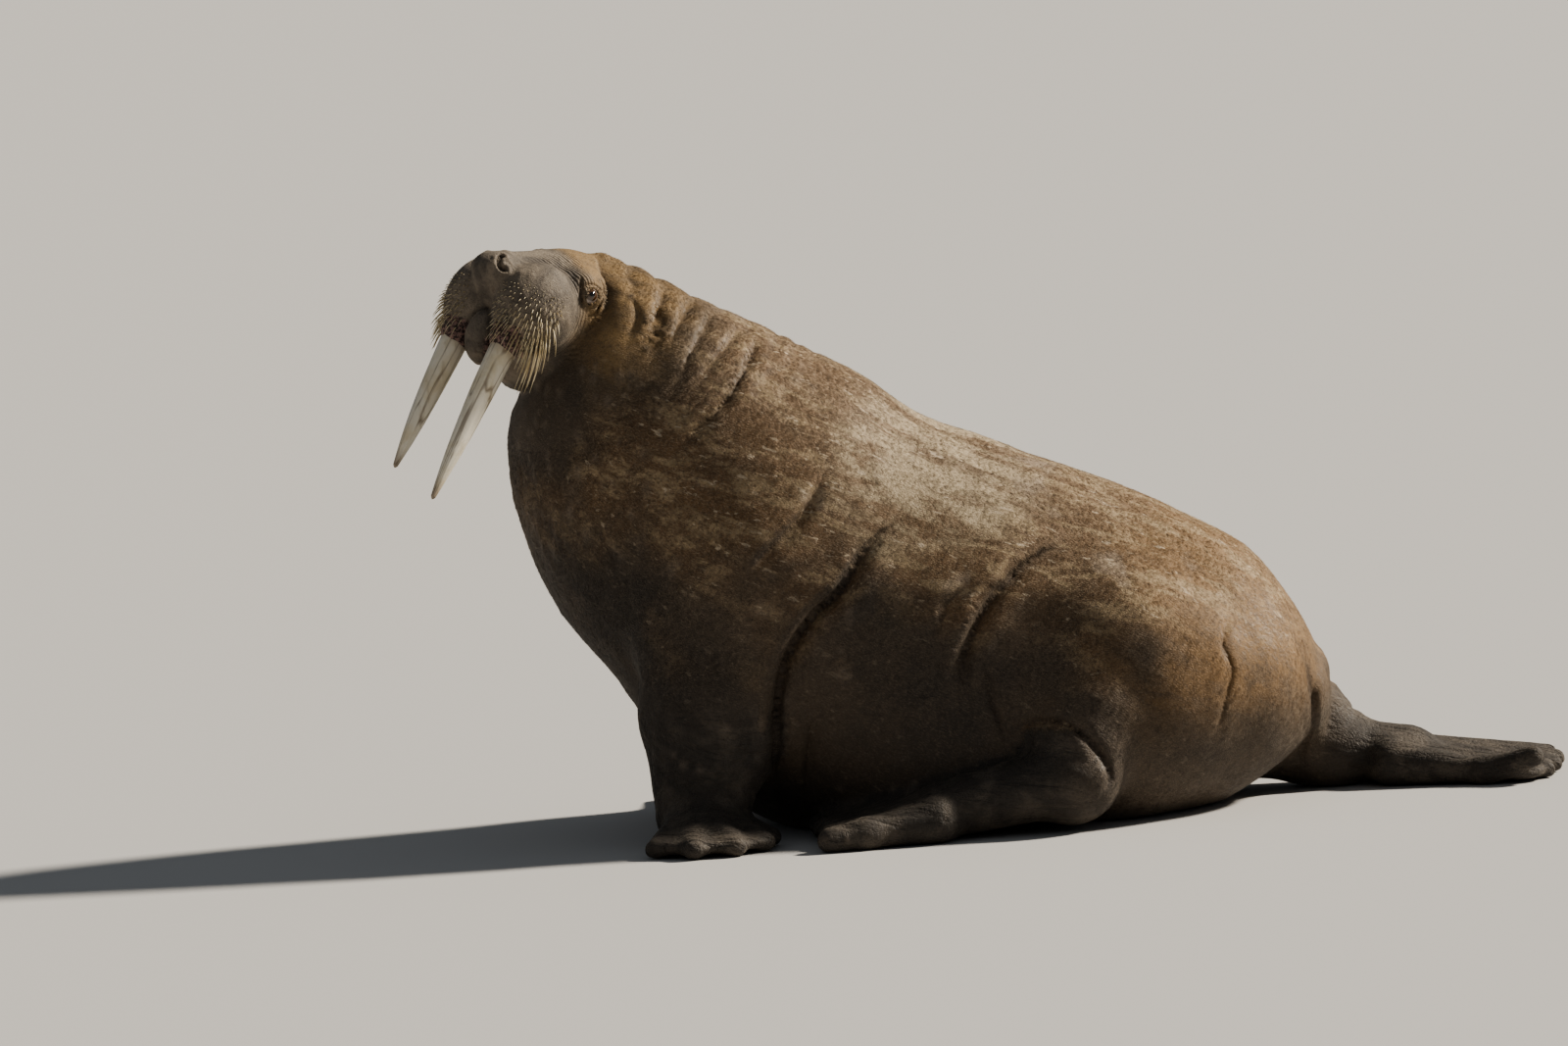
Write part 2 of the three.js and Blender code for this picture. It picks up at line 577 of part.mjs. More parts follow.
// Nostrils: two crescent slits on the nose
const NOSTRIL = { centre: [9, 28, 89], radius: 15, width: 4, depth: 11, stations: 7, from: -35, to: 150 };
function nostril(side) {
  const normal = headDirection(unit([0.62, side * 0.2, 0.76]));
  const turn = (i) => rad(mix(NOSTRIL.from, NOSTRIL.to, i / (NOSTRIL.stations - 1)));
  const stations = Array.from({ length: NOSTRIL.stations }, (_, i) => i);
  const centres = stations.map((i) => {
    const [x, y] = [NOSTRIL.radius * Math.sin(turn(i)), NOSTRIL.radius * Math.cos(turn(i)) * 0.8];
    const at = add(NOSTRIL.centre, [x * 0.78, y, -x * 0.62]);
    return skinPoint(onSide(add(at, [62, 20, 76]), side), onSide(at, side));
  });
  const widths = stations.map((i) => NOSTRIL.width * mix(0.4, 1, Math.sin((Math.PI * i) / (NOSTRIL.stations - 1))));
  return sweep(centres, widths.map(() => NOSTRIL.depth), widths, 6, normal);
}

// The line of the mouth: a groove over the lower lip and down both its sides
const MOUTH = { halfWidth: 49, top: -28, bottom: -158, groove: 5, stations: 15 };
function mouthLine() {
  const centres = Array.from({ length: MOUTH.stations }, (_, i) => {
    const turn = mix(0, Math.PI, i / (MOUTH.stations - 1));
    const b = MOUTH.halfWidth * Math.cos(turn);
    const c = mix(MOUTH.bottom, MOUTH.top, Math.sin(turn) ** 0.8);
    return skinPoint([120, b, c], [-60, b, c]);
  });
  const widths = centres.map(() => MOUTH.groove);
  return sweep(centres, widths, widths, 6, headAxes[0]);
}

// Ears: a small hole behind and below each eye
const EAR = { at: [-330, 300, 44], towards: [-330, 0, 44], radius: 7, depth: 16 };
function earHole(side) {
  const mouthOfEar = skinPoint(onSide(EAR.at, side), onSide(EAR.towards, side));
  const inward = headDirection([0, -side, 0]);
  const centres = [add(mouthOfEar, times(inward, -EAR.depth)), add(mouthOfEar, times(inward, EAR.depth))];
  return sweep(centres, [EAR.radius, EAR.radius * 0.6], [EAR.radius, EAR.radius * 0.6], 10, headAxes[2]);
}

// Whiskers: rows of stiff spines over the lower part of a pad, longest at its lower outer edge
const WHISKER = {
  rows: 6,
  columns: 8,
  turn: [-12, 84], // degrees round the pad, from its middle side to its cheek side
  tilt: [16, -62], // degrees, from the top row to the bottom row
  length: [12, 92],
  radius: 2.1,
  sunk: 14,
  jitter: 4,
  clear: 5, // from the flesh and the tusk, beyond its root
};
function random(seed) {
  let state = seed;
  return () => {
    state = (state * 1664525 + 1013904223) % 4294967296;
    return state / 4294967296;
  };
}
function whisker(side, turn, tilt, share, roll) {
  const normal = unit([Math.cos(tilt) * Math.cos(turn), side * Math.cos(tilt) * Math.sin(turn), Math.sin(tilt)]);
  const centre = onSide(PAD[0], side);
  const root = toHead(skinPoint(add(centre, times(normal, 260)), centre));
  const length = mix(...WHISKER.length, share);
  const lean = unit(add(normal, [0.15, side * 0.25, -0.55 - 0.5 * share + 0.25 * roll]));
  const tipLean = unit(add(lean, [-0.1, 0, -0.45]));
  const middle = add(root, times(lean, length * 0.5));
  const line = [sub(root, times(normal, WHISKER.sunk)), middle, add(middle, times(tipLean, length * 0.5))];
  return line.map(fromHead);
}
const nearTusk = (p, side) => {
  const q = toHead(p);
  const reach = TUSK.lip[2] - q[2];
  const axis = [TUSK.lip[0] + Math.tan(rad(TUSK.forward)) * reach + TUSK.bow, side * TUSK.lip[1]];
  return Math.hypot(q[0] - axis[0], q[1] - axis[1]) < TUSK.width + WHISKER.clear + 6 && reach > -40;
};
function whiskers(side, seed) {
  const next = random(seed);
  const out = [];
  for (let row = 0; row < WHISKER.rows; row++)
    for (let column = 0; column < WHISKER.columns; column++) {
      const [v, u] = [row / (WHISKER.rows - 1), (column + (row % 2) / 2) / (WHISKER.columns - 0.5)];
      const turn = rad(mix(...WHISKER.turn, u) + (next() - 0.5) * WHISKER.jitter);
      const tilt = rad(mix(...WHISKER.tilt, v) + (next() - 0.5) * WHISKER.jitter);
      const share = clamp(0.85 * v * (0.35 + 0.65 * u) + 0.2 * u * u, 0, 1);
      const line = whisker(side, turn, tilt, share, next() - 0.5);
      const free = [line[1], line[2], mixPoint(line[1], line[2], 0.5)].every(
        (p) => flesh(p) > WHISKER.clear && !nearTusk(p, side) && side * toHead(p)[1] > WHISKER.clear,
      );
      if (!free) continue;
      const radii = [WHISKER.radius, WHISKER.radius * 0.75, 0];
      out.push(sweep(line, radii, radii, 3, headAxes[1]));
    }
  return together(out);
}

// Colours
const coat = (colour) => new THREE.MeshStandardMaterial({ color: colour, roughness: 0.8, metalness: 0 });
const brownSkin = coat(0x6b5644);
const darkSkin = coat(0x4a4038);
const greySkin = coat(0x6f655c);
const ivory = new THREE.MeshStandardMaterial({ color: 0xd8ccae, roughness: 0.45, metalness: 0 });
const eyeBrown = new THREE.MeshStandardMaterial({ color: 0x1c120d, roughness: 0.1, metalness: 0 });

const walrus = new THREE.Group();
const WELD = 0.01; // points nearer than this become one
function welded(geometry) {
  const merged = mergeVertices(geometry, WELD);
  const corners = [...merged.index.array];
  const faces = [];
  for (let i = 0; i < corners.length; i += 3) {
    const face = corners.slice(i, i + 3);
    if (new Set(face).size === 3) faces.push(...face);
  }
  merged.setIndex(faces);
  return merged;
}
function piece(name, shape, material) {
  const { vertProperties, triVerts } = largest(shape).getMesh();
  const bare = new THREE.BufferGeometry();
  bare.setAttribute("position", new THREE.BufferAttribute(new Float32Array(vertProperties), 3));
  bare.setIndex(new THREE.BufferAttribute(new Uint32Array(triVerts), 1));
  const geometry = welded(bare);
  geometry.computeVertexNormals();
  const mesh = new THREE.Mesh(geometry, material);
  mesh.name = name;
  walrus.add(mesh);
}

// Cell sizes of the surfaces
const TRUNK_CELL = [86, 86, 81];
const NECK_CELL = [66, 66, 66];
const HEAD_CELL = [35, 33, 33];
const FACE_CELL = [20, 20, 20];
const FORE_CELL = [42, 40, 29];
const HIDDEN_CELL = [54, 51, 40];
const HIND_CELL = [49, 38, 31];
const TAIL_CELL = [30, 30, 27];
const level = new THREE.Matrix4();
const floor = region([FLOOR], 0);
const fleshIn = (frame, low, high, step) => surfaceOf(flesh, frame, low, high, step).intersect(floor);

// The trunk
const limbRegions = [FORE_LEFT_REGION, FORE_RIGHT_REGION, HIND_LEFT_REGION, HIND_RIGHT_REGION, TAIL_REGION];
const body = fleshIn(level, [-1250, -760, -130], [1000, 760, 1420], TRUNK_CELL).subtract(
  together(limbRegions.map(without)),
);
const neck = fleshIn(level, [-1330, -560, 440], [-320, 560, 1580], NECK_CELL);
piece("neck", neck.intersect(region([flipped(CHEST_START)])).subtract(without(HEAD_REGION)), brownSkin);
piece("chest", body.intersect(region([CHEST_START, flipped(BELLY_START)])), brownSkin);
piece("belly", body.intersect(region([BELLY_START, flipped(RUMP_START)])), brownSkin);
piece("rump", body.intersect(region([RUMP_START])), brownSkin);

// The limbs and the tail
const foreLeft = fleshIn(level, [-960, -840, -60], [-470, -180, 560], FORE_CELL);
const foreRight = fleshIn(level, [-960, 180, -60], [-430, 840, 560], HIDDEN_CELL);
piece("fore_flipper_left", foreLeft.intersect(region(FORE_LEFT_REGION)), darkSkin);
piece("fore_flipper_right", foreRight.intersect(region(FORE_RIGHT_REGION)), darkSkin);
const hindLeftFlesh = fleshIn(level, [-560, -860, -60], [400, -380, 380], HIND_CELL);
const hindRightFlesh = fleshIn(level, [722, -84, -60], [1520, 560, 420], HIND_CELL);
piece("hind_flipper_left", hindLeftFlesh.intersect(region(HIND_LEFT_REGION)), darkSkin);
piece("hind_flipper_right", hindRightFlesh.intersect(region(HIND_RIGHT_REGION)), darkSkin);
const tailFlesh = fleshIn(level, [400, -220, -60], [760, 120, 240], TAIL_CELL);
piece("tail", tailFlesh.intersect(region(TAIL_REGION)), darkSkin);

// The head
const sides = [1, -1];
const headFlesh = fleshIn(headMatrix, [-660, -360, -340], [-60, 330, 280], HEAD_CELL);
const faceRegions = [NOSE_REGION, JAW_REGION, PAD_LEFT_REGION, PAD_RIGHT_REGION];
const lids = sides.flatMap((side) => [lid(side, LID.upper), lid(side, -LID.lower)]);
const headHollows = sides.flatMap((side) => [eye(side, GAP), earHole(side)]);
piece(
  "head",
  headFlesh
    .intersect(region(HEAD_REGION))
    .subtract(together(faceRegions.map(without)))
    .add(together(lids))
    .subtract(together(headHollows)),
  greySkin,
);
piece("eye_left", eye(1), eyeBrown);
piece("eye_right", eye(-1), eyeBrown);

// The face
const faceFlesh = fleshIn(headMatrix, [-250, -240, -270], [60, 240, 160], FACE_CELL).subtract(mouthLine());
const nostrils = together(sides.map(nostril));
piece("nose", faceFlesh.intersect(region(NOSE_REGION)).subtract(nostrils), greySkin);
piece("lower_jaw", faceFlesh.intersect(region(JAW_REGION)), greySkin);
function pad(name, planes, side, seed) {
  const shape = faceFlesh.intersect(region(planes)).subtract(together([without(JAW_REGION), nostrils]));
  piece(name, largest(shape).add(whiskers(side, seed)).subtract(tusk(side, GAP)), greySkin);
}
pad("muzzle_left", PAD_LEFT_REGION, 1, 11);
pad("muzzle_right", PAD_RIGHT_REGION, -1, 12);
piece("tusk_left", tusk(1), ivory);
piece("tusk_right", tusk(-1), ivory);

export default walrus;
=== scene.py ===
import math

import bpy
import numpy as np
from mathutils import Matrix, Vector


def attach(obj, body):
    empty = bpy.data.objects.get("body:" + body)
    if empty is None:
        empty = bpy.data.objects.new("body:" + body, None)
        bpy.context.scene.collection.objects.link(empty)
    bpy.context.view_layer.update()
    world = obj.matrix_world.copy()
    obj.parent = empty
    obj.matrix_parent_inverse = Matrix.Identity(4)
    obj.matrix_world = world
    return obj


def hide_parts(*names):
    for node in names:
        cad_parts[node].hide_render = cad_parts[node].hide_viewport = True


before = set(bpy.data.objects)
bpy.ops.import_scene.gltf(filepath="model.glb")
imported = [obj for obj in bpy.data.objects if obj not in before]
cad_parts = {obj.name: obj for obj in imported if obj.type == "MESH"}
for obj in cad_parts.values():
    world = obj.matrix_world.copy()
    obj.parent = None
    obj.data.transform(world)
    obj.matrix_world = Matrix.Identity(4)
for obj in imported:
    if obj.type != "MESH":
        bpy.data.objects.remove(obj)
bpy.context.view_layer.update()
MM = 0.001


# Camera: level with the animal, a little above it, rolled as the beach of the photograph slopes
VIEW_WIDTH = 4.0  # metres across the view at the target
TARGET = Vector((-0.489, 0.0, 0.768))
CAMERA_RISE = math.radians(5)
CAMERA_ROLL = math.radians(3)
LENS, SENSOR = 300.0, 36.0
CLIP = (1.0, 400.0)


def make_camera():
    data = bpy.data.cameras.new("camera")
    data.lens, data.sensor_width = LENS, SENSOR
    distance = VIEW_WIDTH * LENS / SENSOR
    data.clip_start, data.clip_end = CLIP
    camera = bpy.data.objects.new("camera", data)
    bpy.context.collection.objects.link(camera)
    ahead = Vector((0, math.cos(CAMERA_RISE), -math.sin(CAMERA_RISE)))
    right, up = Vector((1, 0, 0)), Vector((0, math.sin(CAMERA_RISE), math.cos(CAMERA_RISE)))
    turned_right = right * math.cos(CAMERA_ROLL) - up * math.sin(CAMERA_ROLL)
    turned_up = right * math.sin(CAMERA_ROLL) + up * math.cos(CAMERA_ROLL)
    turn = Matrix((turned_right, turned_up, -ahead)).transposed().to_4x4()
    camera.matrix_world = Matrix.Translation(TARGET - ahead * distance) @ turn
    bpy.context.scene.camera = camera


make_camera()


# Small helpers on arrays of points and on fields, which are negative inside a shape
SIDES = ((1, "left"), (-1, "right"))


def unit(v):
    v = np.asarray(v, dtype=float)
    return v / np.maximum(np.linalg.norm(v, axis=-1, keepdims=True), 1e-12)


def mix(a, b, t):
    return a + (b - a) * t


def step(low, high, x):
    """0 up to low and 1 from high on, smooth between them."""
    t = np.clip((x - low) / (high - low), 0, 1)
    return t * t * (3 - 2 * t)


def join(a, b, k):
    """Two fields as one shape, with the corner between them rounded over k."""
    return np.minimum(a, b) - np.maximum(k - np.abs(a - b), 0) ** 2 / k * 0.25


def cut(a, b, k):
    """What two fields have in common, with the corner rounded over k."""
    return -join(-a, -b, k)


def folded(q):
    """Head points brought over to the head's left side."""
    return q * [1, 0, 1] + np.abs(q) * [0, 1, 0]


# Large odd numbers that scatter whole numbers, and the bits that are kept
PLACE_FACTORS = (73856093, 19349663, 83492791)
SEED_FACTOR, LAST_FACTOR = 2654435761, 1274126177
WORD, PART_WORD = 0xFFFFFFFF, 0xFFFFFF


def hashed(i, j, k, seed):
    """An even share from 0 to 1 for each whole-numbered place."""
    first, second, third = PLACE_FACTORS
    n = i * first ^ j * second ^ k * third ^ (seed * SEED_FACTOR & WORD)
    n = (n & WORD) ^ (n >> 13 & 0x7FFFF)
    n = n * LAST_FACTOR & WORD
    return ((n ^ n >> 16) & PART_WORD) / PART_WORD


def noise(p, size, seed=0):
    """Smooth noise from -1 to 1, with features about as large as size."""
    q = p / size
    base = np.floor(q).astype(np.int64)
    f = q - base
    f = f * f * (3 - 2 * f)
    total = 0
    for corner in range(8):
        d = [corner & 1, corner >> 1 & 1, corner >> 2 & 1]
        weight = 1
        for axis in range(3):
            weight = weight * (f[:, axis] if d[axis] else 1 - f[:, axis])
        total = total + weight * hashed(base[:, 0] + d[0], base[:, 1] + d[1], base[:, 2] + d[2], seed)
    return total * 2 - 1


# Rounded masses, as in the solids
def ball(p, mass):
    """An ellipsoid, from its centre and radii."""
    centre, radii = mass
    v = p - np.array(centre, dtype=float)
    share = np.maximum(np.linalg.norm(v / np.array(radii, dtype=float), axis=1), 1e-6)
    return np.linalg.norm(v, axis=1) * (1 - 1 / share)


def limb(p, a, b, ra, rb, flat=(0, 0, 1), thinness=1.0):
    """A round-ended length from a to b, pressed flat along one direction."""
    a, along = np.array(a, dtype=float), np.subtract(b, a).astype(float)
    t = np.clip((p - a) @ along / (along @ along), 0, 1)
    off = p - a - t[:, None] * along
    across = off @ unit(flat)
    length = np.linalg.norm(off, axis=1)
    side = np.maximum(length**2 - across**2, 0)
    stretched = np.maximum(np.sqrt(side + (across / thinness) ** 2), 1e-6)
    return length * (1 - mix(ra, rb, t) / stretched)


# The trunk: places of the back and belly line, share down to the widest line, half width, shift
TRUNK = [
    ((-900, 1474), (-1140, 1150), 0.5, 124, -22),
    ((-795, 1428), (-1176, 1050), 0.5, 240, -28),
    ((-645, 1336), (-1176, 905), 0.52, 322, -16),
    ((-470, 1246), (-1150, 770), 0.54, 388, -4),
    ((-295, 1150), (-1085, 600), 0.56, 436, 0),
    ((-140, 1034), (-965, 430), 0.58, 470, 0),
    ((25, 962), (-720, 110), 0.6, 486, 0),
    ((270, 864), (-290, -90), 0.62, 506, 0),
    ((515, 752), (230, -90), 0.62, 488, 0),
    ((675, 655), (530, -20), 0.58, 432, 10),
    ((785, 515), (715, 70), 0.55, 330, 30),
    ((855, 370), (815, 150), 0.5, 180, 60),
]
TRUNK_CAP = (64, 45)
STEPS = 6


def catmull(a, b, c, d, t):
    """The curve through a, b, c and d, at share t from b to c."""
    slope_b, slope_c = (c - a) / 2, (d - b) / 2
    bend = 3 * (c - b) - 2 * slope_b - slope_c
    turn = 2 * (b - c) + slope_b + slope_c
    return b + t * (slope_b + t * (bend + t * turn))


def trunk_sections():
    rows = [[*back, *belly, widest, half, y] for back, belly, widest, half, y in TRUNK]
    rows = np.array(rows, dtype=float)
    last = len(rows) - 1
    out = []
    for i in range(last):
        a, b, c, d = rows[max(i - 1, 0)], rows[i], rows[i + 1], rows[min(i + 2, last)]
        out += [catmull(a, b, c, d, s / STEPS) for s in range(STEPS)]
    back_x, back_z, belly_x, belly_z, widest, half, y = np.array([*out, rows[last]]).T
    height = np.hypot(back_x - belly_x, back_z - belly_z)
    up_x, up_z = (back_x - belly_x) / height, (back_z - belly_z) / height
    return {
        "x": mix(back_x, belly_x, widest),
        "z": mix(back_z, belly_z, widest),
        "up_x": up_x,
        "up_z": up_z,
        "above": widest * height,
        "below": (1 - widest) * height,
        "half": half,
        "y": y,
    }


SECTION = trunk_sections()
LAST_SECTION = len(SECTION["x"]) - 1


def past_section(i, p):
    s = SECTION
    return (p[:, 0] - s["x"][i]) * s["up_z"][i] - (p[:, 2] - s["z"][i]) * s["up_x"][i]


def along_trunk(p):
    """Where points lie along the trunk, in sections from the nape, and how far past its ends."""
    low = np.zeros(len(p), dtype=int)
    high = np.full(len(p), LAST_SECTION)
    before, after = past_section(low, p), past_section(high, p)
    for _ in range(int(math.log2(LAST_SECTION)) + 1):
        middle = (low + high) // 2
        beyond = past_section(middle, p) >= 0
        low, high = np.where(beyond, middle, low), np.where(beyond, high, middle)
        high = np.maximum(high, low + 1)
    a, b = past_section(low, p), past_section(np.minimum(high, LAST_SECTION), p)
    t = low + np.clip(a / np.where(a - b == 0, 1, a - b), 0, 1)
    t = np.where(before < 0, 0, np.where(after > 0, LAST_SECTION, t))
    return t, np.where(before < 0, before, np.where(after > 0, after, 0))


def trunk_parts(p):
    t, past = along_trunk(p)
    i = np.minimum(t.astype(int), LAST_SECTION - 1)
    share = t - i
    at = {key: mix(v[i], v[i + 1], share) for key, v in SECTION.items()}
    height = (p[:, 0] - at["x"]) * at["up_x"] + (p[:, 2] - at["z"]) * at["up_z"]
    return t, past, height, p[:, 1] - at["y"], at


def trunk(p):
    _, past, height, y, at = trunk_parts(p)
    vertical = height / np.where(height > 0, at["above"], at["below"])
    cap = np.where(past < 0, TRUNK_CAP[0], TRUNK_CAP[1])
    ratio = np.sqrt(vertical**2 + (y / at["half"]) ** 2 + (past / cap) ** 2)
    return np.sqrt(height**2 + y**2 + past**2) * (1 - 1 / np.maximum(ratio, 1e-6))


BELLY = ((-120, 0, 255), (432, 496, 500))

# The head, in its own directions: front, left and up from a point between the whisker pads
HEAD_POINT = np.array([-1227.0, -267.0, 1417.0])
HEAD_YAW, HEAD_PITCH, HEAD_ROLL = (math.radians(a) for a in (48, 25, 6))


def head_axes():
    front = np.array([
        -math.cos(HEAD_YAW) * math.cos(HEAD_PITCH),
        -math.sin(HEAD_YAW) * math.cos(HEAD_PITCH),
        math.sin(HEAD_PITCH),
    ])
    level_left = np.array([math.sin(HEAD_YAW), -math.cos(HEAD_YAW), 0])
    level_up = np.cross(front, level_left)
    left = level_left * math.cos(HEAD_ROLL) - level_up * math.sin(HEAD_ROLL)
    return np.array([front, left, np.cross(front, left)])


HEAD_AXES = head_axes()


def to_head(p):
    return (p - HEAD_POINT) @ HEAD_AXES.T


def from_head(q):
    return np.asarray(q, dtype=float) @ HEAD_AXES + HEAD_POINT


CRANIUM = ((-305, 0, 48), (195, 158, 166))
BRIDGE = ((-150, 0, 50), (150, 88, 100))
NOSE = ((-30, 0, 64), (58, 54, 48))
THROAT = ((-240, 0, -70), (150, 112, 110))
CHIN = ((-74, 0, -92), (58, 50, 75))
CHEEK = ((-255, 82, -20), (130, 84, 112))
PAD = ((-122, 86, -2), (116, 98, 128))
GUM = ((-62, 88, -100), (48, 42, 42))
BROW = ((-232, 108, 120), (62, 40, 30))
SOCKET = ((-232, 112, 87), (52, 42, 44))


# What is joined on to the cranium, how widely it blends, and whether it comes in pairs
HEAD_MASSES = (
    (BRIDGE, 60, False),
    (THROAT, 60, False),
    (CHEEK, 50, True),
    (NOSE, 40, False),
    (BROW, 30, True),
    (SOCKET, 24, True),
    (GUM, 20, True),
    (CHIN, 10, False),
    (PAD, 16, True),
)


def head(p):
    q = to_head(p)
    half = folded(q)
    d = ball(q, CRANIUM)
    for mass, blend, paired in HEAD_MASSES:
        d = join(d, ball(half if paired else q, mass), blend)
    return d


# The fore limbs
SHOULDER, ELBOW, WRIST = (-640, -330, 640), (-700, -400, 330), (-735, -462, 85)
ARM_RADII = (230, 178, 118)
ARM_FLATNESS, ARM_FLAT = 0.62, (0.25, 1, 0)
RIGHT_ARM_BEHIND = 35
ELBOW_BLEND = 40
CLEAR = 4  # how far a digit's underside lies below the floor
HAND_ROOT = np.array([-742.0, -462.0, 62.0])
HAND_HEADING = 24
HAND_FAN = (-52, -27, -4, 20, 46)
HAND_LENGTHS = (262, 300, 292, 262, 214)
HAND_RADII = (58, 27)
HAND_START = 0.6  # where a digit starts, in root radii from the hand's root
HAND_WEB = (24, 50)
HAND_BLEND = 34
UP = (0, 0, 1)
WEB_THIN = 0.34
WEB_REACH = 0.86
WEB_BLEND = 16


def hand_digits():
    out = []
    for length, fan in zip(HAND_LENGTHS, HAND_FAN):
        angle = math.radians(HAND_HEADING + fan)
        way = np.array([math.sin(angle), -math.cos(angle), 0])
        level = np.array([HAND_ROOT[0], HAND_ROOT[1], HAND_RADII[1] - CLEAR])
        root = HAND_ROOT + way * HAND_RADII[0] * HAND_START
        out.append((root, level + way * (length - HAND_RADII[1])))
    return out


HAND = hand_digits()


def webs(p, digits, width, d):
    """Joins flat webs of skin between neighbouring digits on to the field d."""
    for (a, b), (c, e) in zip(digits[:-1], digits[1:]):
        root = mix(a, c, 0.5)
        edge = mix(root, mix(b, e, 0.5), WEB_REACH)
        d = join(d, limb(p, root, edge, *width, UP, WEB_THIN), WEB_BLEND)
    return d


def fore_limb(p):
    upper = limb(p, SHOULDER, ELBOW, ARM_RADII[0], ARM_RADII[1], ARM_FLAT, ARM_FLATNESS)
    lower = limb(p, ELBOW, WRIST, ARM_RADII[1], ARM_RADII[2], ARM_FLAT, ARM_FLATNESS)
    d = webs(p, HAND, HAND_WEB, join(upper, lower, ELBOW_BLEND))
    for a, b in HAND:
        d = join(d, limb(p, a, b, *HAND_RADII), HAND_BLEND)
    return d


def fore_limb_right(p):
    return fore_limb(p * [1, -1, 1] - [RIGHT_ARM_BEHIND, 0, 0])


# The hind limbs
THIGH = ((330, -330, 330), (285, 215, 300))
HIND_LEFT = {
    "knee": (255, -440, 270),
    "heel": (200, -520, 130),
    "instep": (-110, -555, 74),
    "radii": (150, 116, 92),
    "flatness": 0.76,
    "toe_root": (-150, -555, 0),
    "spread": 92,
    "fan": (-18, -9, 0, 9, 17),
    "lengths": (330, 308, 292, 296, 306),
    "toe_radii": (58, 32),
    "web": (34, 46),
    "curl": 0,
}
HIND_RIGHT = {
    "knee": (690, 240, 235),
    "heel": (880, 235, 94),
    "instep": (1060, 250, 76),
    "radii": (190, 120, 98),
    "flatness": 0.7,
    "toe_root": (1040, 250, 0),
    "spread": 120,
    "fan": (-20, -10, 0, 10, 20),
    "lengths": (470, 462, 440, 420, 400),
    "toe_radii": (60, 24),
    "web": (40, 64),
    "curl": 50,
}
RIGHT_THIGH = ((590, 235, 300), (270, 235, 270))
TAIL = ((620, 10, 150), (545, -60, 48), (95, 40))
CURL_FROM = 0.66  # the share of the last toe from which it rises
CURL_WIDER = 1.1
RIGHT_THIGH_BLEND, HEEL_BLEND, CURL_BLEND, TOE_BLEND = 70, 30, 12, 38


def toes_of(foot, heading):
    out = []
    root_radius, tip_radius = foot["toe_radii"]
    for i, (length, fan) in enumerate(zip(foot["lengths"], foot["fan"])):
        angle = math.radians(fan)
        way = np.array([heading * math.cos(angle), -math.sin(angle), 0])
        root = np.array(foot["toe_root"], dtype=float) + [0, foot["spread"] * (1 - i / 2), 0]
        tip = root + way * (length - tip_radius)
        out.append((root + [0, 0, root_radius - CLEAR], tip + [0, 0, tip_radius - CLEAR]))
    return out


LEFT_TOES = toes_of(HIND_LEFT, -1)
RIGHT_TOES = toes_of(HIND_RIGHT, 1)


def foot_of(p, foot, toes):
    shank = limb(p, foot["knee"], foot["heel"], foot["radii"][0], foot["radii"][1])
    sole = limb(p, foot["heel"], foot["instep"], *foot["radii"][1:], UP, foot["flatness"])
    if foot is HIND_RIGHT:
        shank = join(ball(p, RIGHT_THIGH), shank, RIGHT_THIGH_BLEND)
    a, b = toes[-1]
    bend = mix(a, b, CURL_FROM)
    root_radius, tip_radius = foot["toe_radii"]
    bend_radius = mix(root_radius, tip_radius, CURL_FROM)
    raised = limb(p, bend, b + [0, 0, foot["curl"]], bend_radius, tip_radius * CURL_WIDER)
    d = join(join(shank, sole, HEEL_BLEND), raised, CURL_BLEND)
    d = webs(p, toes, foot["web"], d)
    for a, b in [*toes[:-1], (a, bend)]:
        d = join(d, limb(p, a, b, root_radius, tip_radius), TOE_BLEND)
    return d


def left_foot(p):
    return foot_of(p, HIND_LEFT, LEFT_TOES)


def right_foot(p):
    return foot_of(p, HIND_RIGHT, RIGHT_TOES)


# The whole of the flesh. Each part has a middle and a reach, outside which it isn't worked out, and
# a width over which it blends into what is there
FAR_OFF = 900.0
HEAD_MIDDLE = (-1100, -180, 1350)
FACE_REACH = 520
FRONT_PARTS = (
    (head, HEAD_MIDDLE, 620, 36),
    (fore_limb, (-700, -400, 400), 800, 80),
    (fore_limb_right, (-700, 400, 400), 800, 80),
)
HIND_PARTS = (
    (left_foot, (-80, -500, 200), 700, 40),
    (right_foot, (950, 240, 200), 900, 80),
)
BELLY_BLEND, THIGH_BLEND, TAIL_BLEND = 60, 90, 50


def near(p, centre, reach, field):
    """A field worked out only within reach of centre, and far off elsewhere."""
    close = np.linalg.norm(p - np.array(centre, dtype=float), axis=1) < reach
    out = np.full(len(p), FAR_OFF)
    if close.any():
        out[close] = field(p[close])
    return out


def flesh(p):
    d = join(trunk(p), ball(p, BELLY), BELLY_BLEND)
    for field, middle, reach, blend in FRONT_PARTS:
        d = join(d, near(p, middle, reach, field), blend)
    d = join(d, ball(p, THIGH), THIGH_BLEND)
    for field, middle, reach, blend in HIND_PARTS:
        d = join(d, near(p, middle, reach, field), blend)
    return join(d, limb(p, TAIL[0], TAIL[1], *TAIL[2]), TAIL_BLEND)


